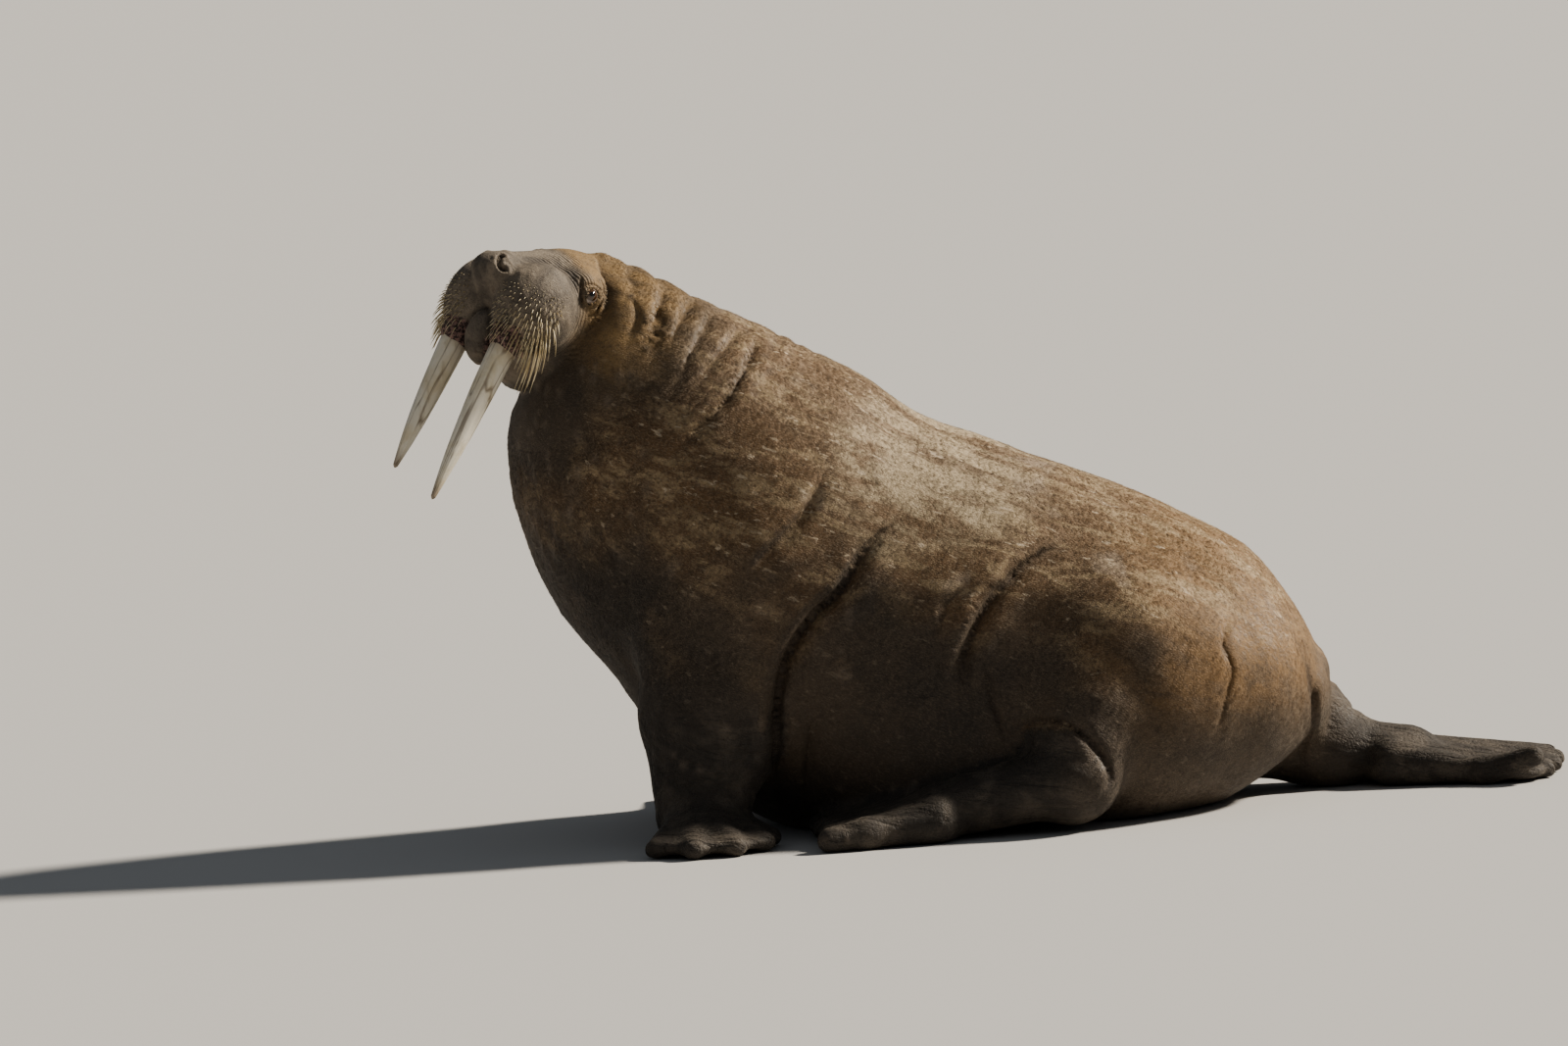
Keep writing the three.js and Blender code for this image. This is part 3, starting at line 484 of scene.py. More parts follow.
# Eyes and lids
EYE = np.array([-228.0, 146.0, 87.0])
EYE_RADIUS = 25.0
EYE_OUTWARD = unit([0.2, 0.95, 0.12])
EYE_BARE = 3.0  # how far the eye stands out of the flesh between the lids
LID_THICKNESS = 4.2
LID_OPENING = (10.5, 15.5, 17.5)  # half width, height above and below
LID_BLEND = 9
LID_BACK = -6  # how far behind the eye's centre the lids reach
OPENING_SLOPE, OPENING_EDGE = 0.8, 2.5
LID_RING = (22, 4.5, 2.2)  # distance from the eye's axis, width and height
LID_TROUGH = (31, 4.5, 3.6)
LID_ROUND = 1.08  # how much wider than high the rings are
LID_FRONT = -10
OFF_LIDS = (20, 32)  # face folds grow between these distances from the eye's axis


def eye_frame(q):
    """Head points, folded on to the left side, as along, over and outward from the eye's centre."""
    along = unit(np.cross([0, 0, 1], EYE_OUTWARD))
    over = np.cross(EYE_OUTWARD, along)
    return (folded(q) - EYE) @ np.array([along, over, EYE_OUTWARD]).T


def lids(p):
    e = eye_frame(to_head(p))
    shell = np.linalg.norm(e, axis=1) - EYE_RADIUS - LID_THICKNESS
    return np.where(e[:, 2] > LID_BACK, shell, 60)


def eye_opening(p):
    """The space between the lids, in front of the eye."""
    e = eye_frame(to_head(p))
    width, above, below = LID_OPENING
    height = np.where(e[:, 1] > 0, above, below)
    share = np.sqrt((e[:, 0] / width) ** 2 + (e[:, 1] / height) ** 2)
    beside = (share - 1) * height * OPENING_SLOPE
    behind = EYE_RADIUS - EYE_BARE - np.linalg.norm(e, axis=1)
    return np.maximum(beside, np.maximum(behind, -e[:, 2]))


# Folds: each is a line in the plane given by two axes. The numbers after the points are its width,
# its depth and how much the skin swells over it on its leading side.
def line_distance(u, points):
    """Distance of plane points from a line, the share along it, and which side they are on."""
    best = np.full(len(u), 1e9)
    share, side = np.zeros(len(u)), np.zeros(len(u))
    count = len(points) - 1
    for i in range(count):
        a, b = np.array(points[i], dtype=float), np.array(points[i + 1], dtype=float)
        along = b - a
        t = np.clip((u - a) @ along / (along @ along), 0, 1)
        off = u - a - t[:, None] * along
        d = np.linalg.norm(off, axis=1)
        closer = d < best
        best = np.where(closer, d, best)
        share = np.where(closer, (i + t) / count, share)
        side = np.where(closer, np.sign(along[0] * off[:, 1] - along[1] * off[:, 0]), side)
    return best, share, side


def curved(points, steps=4):
    p = np.array(points, dtype=float)
    last = len(p) - 1
    out = []
    for i in range(last):
        a, b, c, d = p[max(i - 1, 0)], p[i], p[i + 1], p[min(i + 2, last)]
        out += [catmull(a, b, c, d, s / steps) for s in range(steps)]
    return [*out, p[last]]


# Body folds by X and Z, seen from the side: on both sides, on the left and on the right
BODY_FOLDS = [
    (
        [(-100, 815), (-249, 761), (-354, 651), (-480, 507)]
        + [(-522, 423), (-548, 292), (-540, 165), (-496, 45)],
        15, 26, 34,
    ),
    ([(-448, 330), (-463, 210), (-470, 67)], 11, 9, 8),
    ([(-365, 926), (-437, 837), (-517, 758), (-585, 690)], 13, 12, 15),
    ([(-530, 1262), (-546, 1226), (-577, 1173), (-630, 1108), (-701, 1044), (-780, 975)], 9, 18, 19),
    ([(-560, 1310), (-584, 1277), (-616, 1236), (-650, 1205), (-730, 1140)], 8, 11, 12),
    ([(-610, 1385), (-642, 1348), (-671, 1289), (-716, 1226), (-770, 1130)], 8, 11, 12),
    ([(-690, 1400), (-709, 1359), (-729, 1317), (-790, 1220)], 8, 11, 12),
    ([(-750, 1420), (-776, 1387), (-786, 1338), (-830, 1250)], 8, 11, 12),
    ([(-848, 405), (-814, 386), (-731, 301), (-645, 209), (-604, 139), (-583, 115)], 9, 6, 7),
    ([(-693, 581), (-668, 346), (-656, 245)], 13, 5, 4),
    ([(608, 569), (615, 501), (599, 437), (616, 386), (600, 311), (576, 237), (549, 158)], 6, 8, 5),
]
LEFT_FOLDS = [
    ([(239, 713), (122, 669), (34, 608), (-29, 518), (-59, 419), (-30, 342)], 14, 19, 26),
    ([(10, 448), (13, 348), (32, 231)], 9, 9, 7),
    ([(-30, 626), (-101, 572), (-121, 500)], 12, 9, 11),
    (
        [(20, 226), (75, 262), (126, 273), (184, 275)]
        + [(248, 217), (285, 157), (283, 114), (250, 60)],
        8, 15, 10,
    ),
]
RIGHT_FOLDS = [
    ([(560, 680), (430, 640), (330, 560), (272, 450), (262, 330), (300, 200)], 14, 18, 22),
    ([(180, 640), (110, 560), (80, 460), (90, 350)], 13, 10, 8),
    ([(-30, 560), (-90, 480), (-110, 380)], 12, 8, 6),
]
# Round the right hind ankle, and across the back of the flipper behind it
ANKLE_FOLDS = [
    ([(806, 420), (814, 345), (832, 262), (826, 176), (798, 108), (790, 40)], 8, 18, 14),
    ([(870, 330), (889, 262), (880, 190), (862, 120)], 6, 6, 5),
    ([(936, 290), (948, 230), (938, 170)], 6, 5, 4),
]
ANKLE_FROM = (690, 760)
BODY_WANDER = 7
FLANK_FROM = (70, 170)  # a body fold grows between these distances from the middle plane
# Face folds by the head's front and up directions: behind the eye, round its lids, before it, and
# above the whisker pad
FACE_FOLDS = [
    (
        [(-222, -26), (-231, 2), (-241, 29), (-251, 59), (-261, 91)]
        + [(-266, 118), (-266, 146), (-272, 172), (-290, 205), (-330, 240)],
        6, 13, 9,
    ),
    ([(-224, 34), (-238, 46), (-250, 70), (-256, 100), (-250, 130), (-236, 146)], 3, 6, 4),
    ([(-186, 132), (-190, 112), (-195, 92), (-203, 70), (-216, 46)], 3, 5, 3),
    ([(-290, 130), (-296, 90), (-290, 40), (-270, -10)], 7, 5, 5),
    ([(-336, 150), (-342, 90), (-330, 10), (-300, -60)], 8, 5, 6),
]
FACE_WANDER = 2.2
FACE_FROM = (25, 75)


WANDER_SIZES, FINE_WANDER = (90, 30), 0.14


def wandering(u, reach):
    """Plane points moved a little, so that a line drawn on them isn't even."""
    p = np.stack([u[:, 0], np.zeros(len(u)), u[:, 1]], axis=1)
    shift = []
    for k in range(2):
        broad, fine = noise(p, WANDER_SIZES[0], 51 + k), noise(p, WANDER_SIZES[1], 53 + k)
        shift.append(broad * reach + fine * reach * FINE_WANDER)
    return u + np.stack(shift, axis=1)


# The section across a fold, in shares of its width
CREASE_REACH = (0.65, 1.3)  # how far the crease reaches to each side
OVER_FROM, OVER_REACH = 0.9, 5.5  # where the skin hangs over it, and how far back that reaches
UNDER_SHARE, UNDER_PLACE, UNDER_REACH = 0.3, 3.6, 2.0  # the low swell on the other side
FOLD_ENDS = 0.34  # the share of its length in which a fold starts, and in which it ends
FOLD_NEAR = 20  # widths from its line beyond which a fold isn't worked out


def fold_profile(s, width, depth, swell):
    """How far a fold pulls the skin in at s from its line. Skin hangs over it where s < 0."""
    t = s / width
    crease = depth * np.exp(-((t / np.where(t < 0, *CREASE_REACH)) ** 2))
    hanging = (1 - np.exp(-((t / OVER_FROM) ** 2))) * np.exp(t / OVER_REACH)
    over = swell * np.where(t < 0, hanging, 0)
    under = UNDER_SHARE * swell * np.exp(-(((t - UNDER_PLACE) / UNDER_REACH) ** 2))
    return crease - over - under


def folds_of(u, weight, folds, wander):
    d = np.zeros(len(u))
    some = np.flatnonzero(weight > 0)
    if len(some) == 0:
        return d
    moved = wandering(u[some], wander)
    for points, width, depth, swell in folds:
        line = curved(points)
        low = np.min(line, axis=0) - FOLD_NEAR * width
        high = np.max(line, axis=0) + FOLD_NEAR * width
        close = np.all((moved > low) & (moved < high), axis=1)
        if close.any():
            away, share, side = line_distance(moved[close], line)
            fade = step(0, FOLD_ENDS, share) * step(0, FOLD_ENDS, 1 - share)
            d[some[close]] += fade * fold_profile(away * side, width, depth, swell)
    return d * weight


def body_folds(p):
    u = p[:, [0, 2]]
    weight = step(*FLANK_FROM, np.abs(p[:, 1]))
    d = folds_of(u, weight, BODY_FOLDS, BODY_WANDER)
    d += folds_of(u, weight * (p[:, 1] < 0), LEFT_FOLDS, BODY_WANDER)
    d += folds_of(u, step(*ANKLE_FROM, p[:, 0]), ANKLE_FOLDS, BODY_WANDER)
    return d + folds_of(u, weight * (p[:, 1] > 0), RIGHT_FOLDS, BODY_WANDER)


# Nostrils, the line of the mouth and the ear holes, all in head directions
NOSTRIL = np.array([2.0, 40.0, 84.0])
NOSTRIL_OUTWARD = unit([0.57, 0.71, 0.43])
NOSTRIL_UP = (0.25, 0, 1)
NOSTRIL_RADII = (13, 19)  # of its crescent, outwards and upwards
NOSTRIL_TURN = (-80, 105)
NOSTRIL_DEPTH, NOSTRIL_WIDTH, NOSTRIL_RIM = 15, 4.6, 4.5
MOUTH_HALF, MOUTH_TOP, MOUTH_BOTTOM = 49, -28, -158
MOUTH_DEPTH, MOUTH_WIDTH = 9, 4.5
EAR_HOLE = (-330.0, 44.0)
EAR_DEPTH, EAR_RADIUS = 16, 6.5
EAR_RIM_HEIGHT, EAR_RIM_WIDTH = 4, 6


def nostril_line():
    turn = np.radians(np.linspace(*NOSTRIL_TURN, 11))
    return np.stack([NOSTRIL_RADII[0] * (np.cos(turn) - 0.6), NOSTRIL_RADII[1] * np.sin(turn)], axis=1)


def mouth_line():
    turn = np.linspace(0, math.pi, 17)
    rise = np.sin(turn) ** 0.8
    return np.stack([MOUTH_HALF * np.cos(turn), mix(MOUTH_BOTTOM, MOUTH_TOP, rise)], axis=1)


def nostril_axes():
    across = -unit(np.cross(NOSTRIL_UP, NOSTRIL_OUTWARD))
    return np.stack([across, np.cross(NOSTRIL_OUTWARD, across), NOSTRIL_OUTWARD])


NOSTRIL_LINE, MOUTH_LINE, NOSTRIL_AXES = nostril_line(), mouth_line(), nostril_axes()


def nostril_marks(half):
    """A crescent slit with a raised rim."""
    v = (half - NOSTRIL) @ NOSTRIL_AXES.T
    away, _, _ = line_distance(v[:, :2], NOSTRIL_LINE)
    slit = NOSTRIL_DEPTH * np.exp(-((away / NOSTRIL_WIDTH) ** 2))
    rim = NOSTRIL_RIM * np.exp(-(((away - 2.5 * NOSTRIL_WIDTH) / (1.3 * NOSTRIL_WIDTH)) ** 2))
    return slit - rim


def ring_mark(r, ring):
    """The height at r from the middle of a ring of a given radius, width and height."""
    return ring[2] * np.exp(-(((r - ring[0]) / ring[1]) ** 2))


def face_marks(q):
    """How far the nostrils, mouth, ears and face folds pull the skin in."""
    half = folded(q)
    e = eye_frame(q)
    in_front = e[:, 2] > LID_FRONT
    r = np.hypot(e[:, 0], e[:, 1] * LID_ROUND)
    weight = step(*FACE_FROM, half[:, 1]) * step(*OFF_LIDS, np.where(in_front, r, 99))
    d = folds_of(half[:, [0, 2]], weight, FACE_FOLDS, FACE_WANDER)
    d += np.where(in_front, ring_mark(r, LID_TROUGH) - ring_mark(r, LID_RING), 0)
    on_nose = (half[:, 0] > -50) & (half[:, 1] < 90) & (half[:, 2] > 30)
    if on_nose.any():
        d[on_nose] += nostril_marks(half[on_nose])
    on_lip = (half[:, 0] > -130) & (half[:, 1] < 80) & (half[:, 2] < 0)
    if on_lip.any():
        away, _, _ = line_distance(q[on_lip][:, 1:], MOUTH_LINE)
        d[on_lip] += MOUTH_DEPTH * np.exp(-((away / MOUTH_WIDTH) ** 2))
    by_ear = (half[:, 1] > 100) & (half[:, 0] < -280)
    away = np.hypot(half[:, 0] - EAR_HOLE[0], half[:, 2] - EAR_HOLE[1])
    rim = EAR_RIM_HEIGHT * np.exp(-(((away - 2.2 * EAR_RADIUS) / EAR_RIM_WIDTH) ** 2))
    d += np.where(by_ear, EAR_DEPTH * np.exp(-((away / EAR_RADIUS) ** 2)) - rim, 0)
    return d


def head_marks(p):
    close = np.linalg.norm(p - HEAD_MIDDLE, axis=1) < FACE_REACH
    out = np.zeros(len(p))
    if close.any():
        out[close] = face_marks(to_head(p[close]))
    return out


FLOOR_ROUNDING = 14


def smooth_flesh(p):
    return cut(flesh(p), -p[:, 2], FLOOR_ROUNDING)


def skin_field(p):
    d = flesh(p)
    d = join(d, near(p, HEAD_MIDDLE, FACE_REACH, lids), LID_BLEND)
    d = d + body_folds(p) + head_marks(p)
    d = cut(d, -near(p, HEAD_MIDDLE, FACE_REACH, eye_opening), OPENING_EDGE)
    return cut(d, -p[:, 2], FLOOR_ROUNDING)


# Surface of a field
GRID_PARTS = 12
SLOPE_STEP, LEAST_SLOPE = 0.6, 0.3


def surface_nets(field, low, high, size):
    """One point in each crossed cell of a grid, with four-sided faces split into triangles."""
    counts = [int(math.ceil((b - a) / size)) + 1 for a, b in zip(low, high)]
    axes = [a + np.arange(n) * size for a, n in zip(low, counts)]
    grid = np.stack(np.meshgrid(*axes, indexing="ij"), axis=-1).reshape(-1, 3)
    values = np.concatenate([field(part) for part in np.array_split(grid, GRID_PARTS)])
    values = values.reshape(counts)
    inside = values < 0
    cells = tuple(n - 1 for n in counts)
    total, hits = np.zeros((*cells, 3)), np.zeros(cells)
    for axis in range(3):
        for n in range(4):
            a = [0, 0, 0]
            a[(axis + 1) % 3], a[(axis + 2) % 3] = n & 1, n >> 1
            b = list(a)
            b[axis] = 1
            part_a = tuple(slice(s, s + c) for s, c in zip(a, cells))
            part_b = tuple(slice(s, s + c) for s, c in zip(b, cells))
            crossed = inside[part_a] != inside[part_b]
            gap = values[part_a] - values[part_b]
            t = np.where(crossed, values[part_a] / np.where(gap == 0, 1, gap), 0)
            for k in range(3):
                total[..., k] += crossed * (a[k] + (t if k == axis else 0))
            hits += crossed
    used = hits > 0
    index = np.full(cells, -1)
    index[used] = np.arange(used.sum())
    places = np.argwhere(used) + total[used] / hits[used][:, None]
    points = places * size + np.array(low)
    faces = []
    for axis in range(3):
        u, v = (axis + 1) % 3, (axis + 2) % 3
        take = [slice(1, c) for c in cells]
        take[axis] = slice(0, cells[axis])
        ahead = list(take)
        ahead[axis] = slice(1, cells[axis] + 1)
        here, there = inside[tuple(take)], inside[tuple(ahead)]
        at = np.argwhere(here != there) + [0 if k == axis else 1 for k in range(3)]
        solid = inside[tuple(at.T)]
        corners = []
        for du, dv in ((0, 0), (-1, 0), (-1, -1), (0, -1)):
            cell = at.copy()
            cell[:, u] += du
            cell[:, v] += dv
            corners.append(index[tuple(cell.T)])
        quads = np.stack(corners, axis=1)
        quads[~solid] = quads[~solid][:, ::-1]
        faces.append(quads)
    quads = np.concatenate(faces)
    p, q, r, s = quads.T
    short = np.linalg.norm(points[p] - points[r], axis=1) < np.linalg.norm(points[q] - points[s], axis=1)
    first = np.where(short[:, None], np.stack([p, q, r], 1), np.stack([p, q, s], 1))
    second = np.where(short[:, None], np.stack([p, r, s], 1), np.stack([q, r, s], 1))
    return points, np.concatenate([first, second])


def slope_of(field, p, value):
    out = np.empty_like(p)
    for axis in range(3):
        moved = p.copy()
        moved[:, axis] += SLOPE_STEP
        out[:, axis] = (field(moved) - value) / SLOPE_STEP
    return out


def settle(field, p, turns, most):
    """Moves points on to the surface, by at most a given length each turn."""
    for _ in range(turns):
        value = field(p)
        slope = slope_of(field, p, value)
        move = -slope * (value / np.maximum((slope**2).sum(1), LEAST_SLOPE))[:, None]
        length = np.linalg.norm(move, axis=1, keepdims=True)
        p = p + move * np.minimum(1, most / np.maximum(length, 1e-9))
    return p


def edges_of(faces):
    """The edges of triangles, and the three of each triangle."""
    ends = np.sort(np.concatenate([faces[:, [0, 1]], faces[:, [1, 2]], faces[:, [2, 0]]]), axis=1)
    edges, place = np.unique(ends, axis=0, return_inverse=True)
    return edges, place.reshape(3, -1).T


def relax(p, faces, turns):
    """Evens out the triangles by moving points towards the middle of their neighbours."""
    edges, _ = edges_of(faces)
    ends = np.concatenate([edges, edges[:, ::-1]])
    count = np.bincount(ends[:, 0], minlength=len(p))[:, None]
    for _ in range(turns):
        total = [np.bincount(ends[:, 0], p[ends[:, 1], k], len(p)) for k in range(3)]
        middle = np.stack(total, 1) / count
        n = normals_of(p, faces)
        move = (middle - p) * 0.5
        p = p + move - n * (move * n).sum(1, keepdims=True)
    return p


def normals_of(p, faces):
    a, b, c = p[faces[:, 0]], p[faces[:, 1]], p[faces[:, 2]]
    n = np.cross(b - a, c - a)
    total = np.stack(
        [sum(np.bincount(faces[:, i], n[:, k], len(p)) for i in range(3)) for k in range(3)], axis=1
    )
    return unit(total)


SPLIT_OVER = 1.3


def split(p, faces, target):
    """Splits each edge longer than the target length where it lies."""
    edges, of_face = edges_of(faces)
    ends = p[edges]
    middle = ends.mean(axis=1)
    long = np.linalg.norm(ends[:, 0] - ends[:, 1], axis=1) > target(middle) * SPLIT_OVER
    number = np.full(len(edges), -1)
    number[long] = len(p) + np.arange(long.sum())
    p = np.concatenate([p, middle[long]])
    marks = long[of_face]
    count = marks.sum(1)
    out = [faces[count == 0]]
    for turn in range(3):
        f = np.roll(faces, -turn, axis=1)
        m = np.roll(marks, -turn, axis=1)
        e = number[np.roll(of_face, -turn, axis=1)]
        one = (count == 1) & m[:, 0]
        a, b, c, ab = f[one, 0], f[one, 1], f[one, 2], e[one, 0]
        out += [np.stack([a, ab, c], 1), np.stack([ab, b, c], 1)]
        two = (count == 2) & m[:, 0] & m[:, 1]
        a, b, c, ab, bc = f[two, 0], f[two, 1], f[two, 2], e[two, 0], e[two, 1]
        near_a = np.linalg.norm(p[a] - p[bc], axis=1) < np.linalg.norm(p[ab] - p[c], axis=1)
        near_a = near_a[:, None]
        out += [
            np.stack([ab, b, bc], 1),
            np.where(near_a, np.stack([a, ab, bc], 1), np.stack([a, ab, c], 1)),
            np.where(near_a, np.stack([a, bc, c], 1), np.stack([ab, bc, c], 1)),
        ]
    f, e = faces[count == 3], number[of_face[count == 3]]
    a, b, c, ab, bc, ca = *f.T, *e.T
    out += [np.stack(s, 1) for s in ((a, ab, ca), (ab, b, bc), (ca, bc, c), (ab, bc, ca))]
    return p, np.concatenate(out)


# How fine the skin's triangles are, in millimetres
BODY_EDGE = 20
FOOT_EDGE = 13
NECK_EDGE = 11.5
FOLD_EDGE = 6.5
HEAD_EDGE = 6.5
PAD_EDGE = 4.3
FINE_EDGE = 2.1
# Where they are finer: the neck before and above, folds by their depth, feet by their height
NECK_BEFORE, NECK_ABOVE = -380, 700
FOLD_DEEP, FOLD_SWOLLEN = 3, -20
FOOT_HEIGHT, FEET_LEFT, FEET_BEHIND, FEET_BEFORE = 130, -420, 1000, -560
HEAD_BACK, HEAD_REACH, FACE_BACK = -360, 330, -200
FACE_CENTRE = (-120, 0, 0)
BY_EYE, BY_NOSTRIL = 52, 36


def target_edge(p):
    size = np.full(len(p), float(BODY_EDGE))
    size = np.where((p[:, 0] < NECK_BEFORE) & (p[:, 2] > NECK_ABOVE), NECK_EDGE, size)
    fold = body_folds(p)
    by_fold = (fold > FOLD_DEEP) | (fold < FOLD_SWOLLEN)
    size = np.where(by_fold, np.minimum(size, FOLD_EDGE), size)
    feet = (p[:, 1] < FEET_LEFT) | (p[:, 0] > FEET_BEHIND) | (p[:, 0] < FEET_BEFORE)
    feet &= p[:, 2] < FOOT_HEIGHT
    size = np.where(feet, np.minimum(size, FOOT_EDGE), size)
    q = to_head(p)
    half = folded(q)
    on_head = (q[:, 0] > HEAD_BACK) & (np.linalg.norm(q - FACE_CENTRE, axis=1) < HEAD_REACH)
    size = np.where(on_head, HEAD_EDGE, size)
    size = np.where(on_head & (q[:, 0] > FACE_BACK), PAD_EDGE, size)
    by_eye = np.linalg.norm(half - EYE, axis=1) < BY_EYE
    by_nostril = np.linalg.norm(half - NOSTRIL, axis=1) < BY_NOSTRIL
    return np.where(by_eye | by_nostril, FINE_EDGE, size)


BASE_CELL = 24
SPLITS = 5
SKIN_LOW, SKIN_HIGH = (-1420, -800, -24), (1510, 800, 1560)


def skin_shape():
    points, faces = surface_nets(smooth_flesh, SKIN_LOW, SKIN_HIGH, BASE_CELL)
    points = settle(smooth_flesh, points, 2, 12)
    for _ in range(SPLITS):
        points, faces = split(points, faces, target_edge)
        points = relax(points, faces, 2)
        points = settle(smooth_flesh, points, 1, 8)
    points = settle(skin_field, points, 4, 6)
    points = relax(points, faces, 1)
    return settle(skin_field, points, 2, 4), faces


skin_points, skin_faces = skin_shape()
print("skin", len(skin_points), "points", len(skin_faces), "triangles")


# Relief that is too fine for the field: broad unevenness, rings round the neck, raised lumps
def trunk_place(p):
    t, _, height, y, _ = trunk_parts(p)
    return t, np.arctan2(y, height)


RING_SPACING = 58
RING_WANDER = (0.55, 0.18)
RING_HEIGHT = 13
BROAD = ((190, 6, 5), (80, 7, 2.2), (36, 8, 0.9))  # size, seed and height of the unevenness
LONG_SIZE, LONG_STRETCH, LONG_DEPTH = 46, 0.3, 3.4
FINE_SIZE, FINE_HEIGHT = 14, 0.45
LUMPS = 620
LUMP_SIZE = (8, 21)
LUMP_SHAPE = (0.8, 1, 1.3)
LUMP_SHARPNESS = 1.8
LUMP_HEIGHT = 3.6
OFF_HEAD = (-190, -330)
OFF_EYE = (22, 60)
BACK_LENGTH = np.append(0, np.cumsum(np.hypot(np.diff(SECTION["x"]), np.diff(SECTION["z"]))))


def lump_marks(p, density, seed):
    pick = np.random.default_rng(seed)
    centres = pick.choice(len(p), LUMPS, p=density / density.sum(), replace=False)
    height = np.zeros(len(p))
    for centre in p[centres]:
        size = pick.uniform(*LUMP_SIZE)
        near_points = np.flatnonzero(np.abs(p[:, 0] - centre[0]) < 2 * size)
        v = (p[near_points] - centre) / LUMP_SHAPE
        away = np.linalg.norm(v, axis=1) / size
        bump = np.exp(-(away**2) * LUMP_SHARPNESS) * pick.uniform(0.5, 1)
        height[near_points] = np.maximum(height[near_points], bump)
    return height


def relief(p, faces):
    """The points with the relief on them, and how much lump and neck ring each has."""
    n = normals_of(p, faces)
    t, angle = trunk_place(p)
    q = to_head(p)
    place = t / STEPS
    off_head = step(*OFF_HEAD, q[:, 0])
    warp = noise(p, 170, 3) * RING_WANDER[0] + noise(p, 60, 4) * RING_WANDER[1]
    ring = np.interp(t, np.arange(LAST_SECTION + 1), BACK_LENGTH) / RING_SPACING + warp
    ridge = np.abs(np.sin(math.pi * ring)) ** 0.6 - 0.75
    neck = step(0.05, 0.5, place) * step(4.3, 2.4, place) * off_head * step(2.4, 1.2, np.abs(angle))
    ring_height = neck * (0.62 + 0.38 * noise(p, 110, 5)) * ridge
    body = off_head * step(40, 160, p[:, 2])
    broad = sum(noise(p, size, seed) * height for size, seed, height in BROAD)
    long = 1 - np.abs(noise(p * [1, 1, LONG_STRETCH], LONG_SIZE, 13)) ** 0.6
    front = step(4.4, 2.5, place) * step(0.7, 1.6, np.abs(angle)) * off_head
    broad = broad - LONG_DEPTH * long * (0.35 + 0.65 * front)
    density = step(3.9, 2.0, place) * off_head * step(0.6, -0.5, n[:, 2]) + 0.02 * (place < 7)
    lump = lump_marks(p, density * (0.3 + (noise(p, 130, 9) > 0)), 10)
    fine = noise(p, FINE_SIZE, 12) * FINE_HEIGHT * np.where(off_head > 0.5, 1, 0.4)
    height = ring_height * RING_HEIGHT + body * broad + lump * LUMP_HEIGHT + fine
    height *= step(2, 30, p[:, 2]) * step(*OFF_EYE, np.linalg.norm(eye_frame(q), axis=1))
    height = np.where(p[:, 2] < 3, 0, height)
    return p + n * height[:, None], lump, ring_height


skin_points, lump_at, rings_at = relief(skin_points, skin_faces)


# Whiskers: rows of stiff, curved, tapering spines
WHISKER_ROWS, WHISKER_COLUMNS = 13, 15
WHISKER_TURN = (-16, 88)
WHISKER_TILT = (22, -62)
WHISKER_LENGTH = (3, 92)
WHISKER_RADIUS = (1.3, 2.2)
WHISKER_SHAKE = (2.2, 2.0)  # degrees, of the turn and the tilt
WHISKER_STATIONS = 7
WHISKER_SIDES = 6
WHISKER_SAG = 0.42
WHISKER_BURIED = 4
RAY_START, RAY_STEP, RAY_TURNS = 260, 0.7, 60
TUSK_LIP = np.array([-56.0, 88.0, -128.0])
TUSK_FORWARD = math.radians(9)
TUSK_WIDTH = 40
TUSK_CLEAR = 5
LIP_BARE = (-100, 45)  # below this height, and this near to the middle of a tusk


def trace(starts, ways):
    """Where rays from outside, in head directions, meet the skin."""
    p, way = from_head(starts), unit(ways) @ HEAD_AXES
    for _ in range(RAY_TURNS):
        p = p + way * (skin_field(p) * RAY_STEP)[:, None]
    return p


def from_tusk(q, side=1):
    """Distance of head points from a tusk's middle line, and how far below the lip they lie."""
    reach = TUSK_LIP[2] - q[..., 2]
    middle = TUSK_LIP[0] + np.tan(TUSK_FORWARD) * reach
    return np.hypot(q[..., 0] - middle, q[..., 1] - side * TUSK_LIP[1]), reach


def whisker_roots(side, seed):
    pick = np.random.default_rng(seed)
    rows = np.repeat(np.arange(WHISKER_ROWS), WHISKER_COLUMNS)
    columns = np.tile(np.arange(WHISKER_COLUMNS), WHISKER_ROWS)
    v = rows / (WHISKER_ROWS - 1)
    u = (columns + (rows % 2) / 2) / (WHISKER_COLUMNS - 0.5)
    shake = pick.uniform(-1, 1, (len(v), 4))
    turn = np.radians(mix(*WHISKER_TURN, u) + shake[:, 0] * WHISKER_SHAKE[0])
    tilt = np.radians(mix(*WHISKER_TILT, v) + shake[:, 1] * WHISKER_SHAKE[1])
    level = np.cos(tilt)
    ray = np.stack([level * np.cos(turn), side * level * np.sin(turn), np.sin(tilt)], axis=1)
    centre = np.array(PAD[0]) * [1, side, 1]
    roots = to_head(trace(centre + ray * RAY_START, -ray))
    share = np.clip(0.88 * v**1.25 * (0.4 + 0.6 * u) + 0.16 * u * u * v, 0, 1)
    share = np.clip(share * (1 + 0.16 * shake[:, 2]), 0.01, 1)
    return roots, ray, share, shake[:, 3]


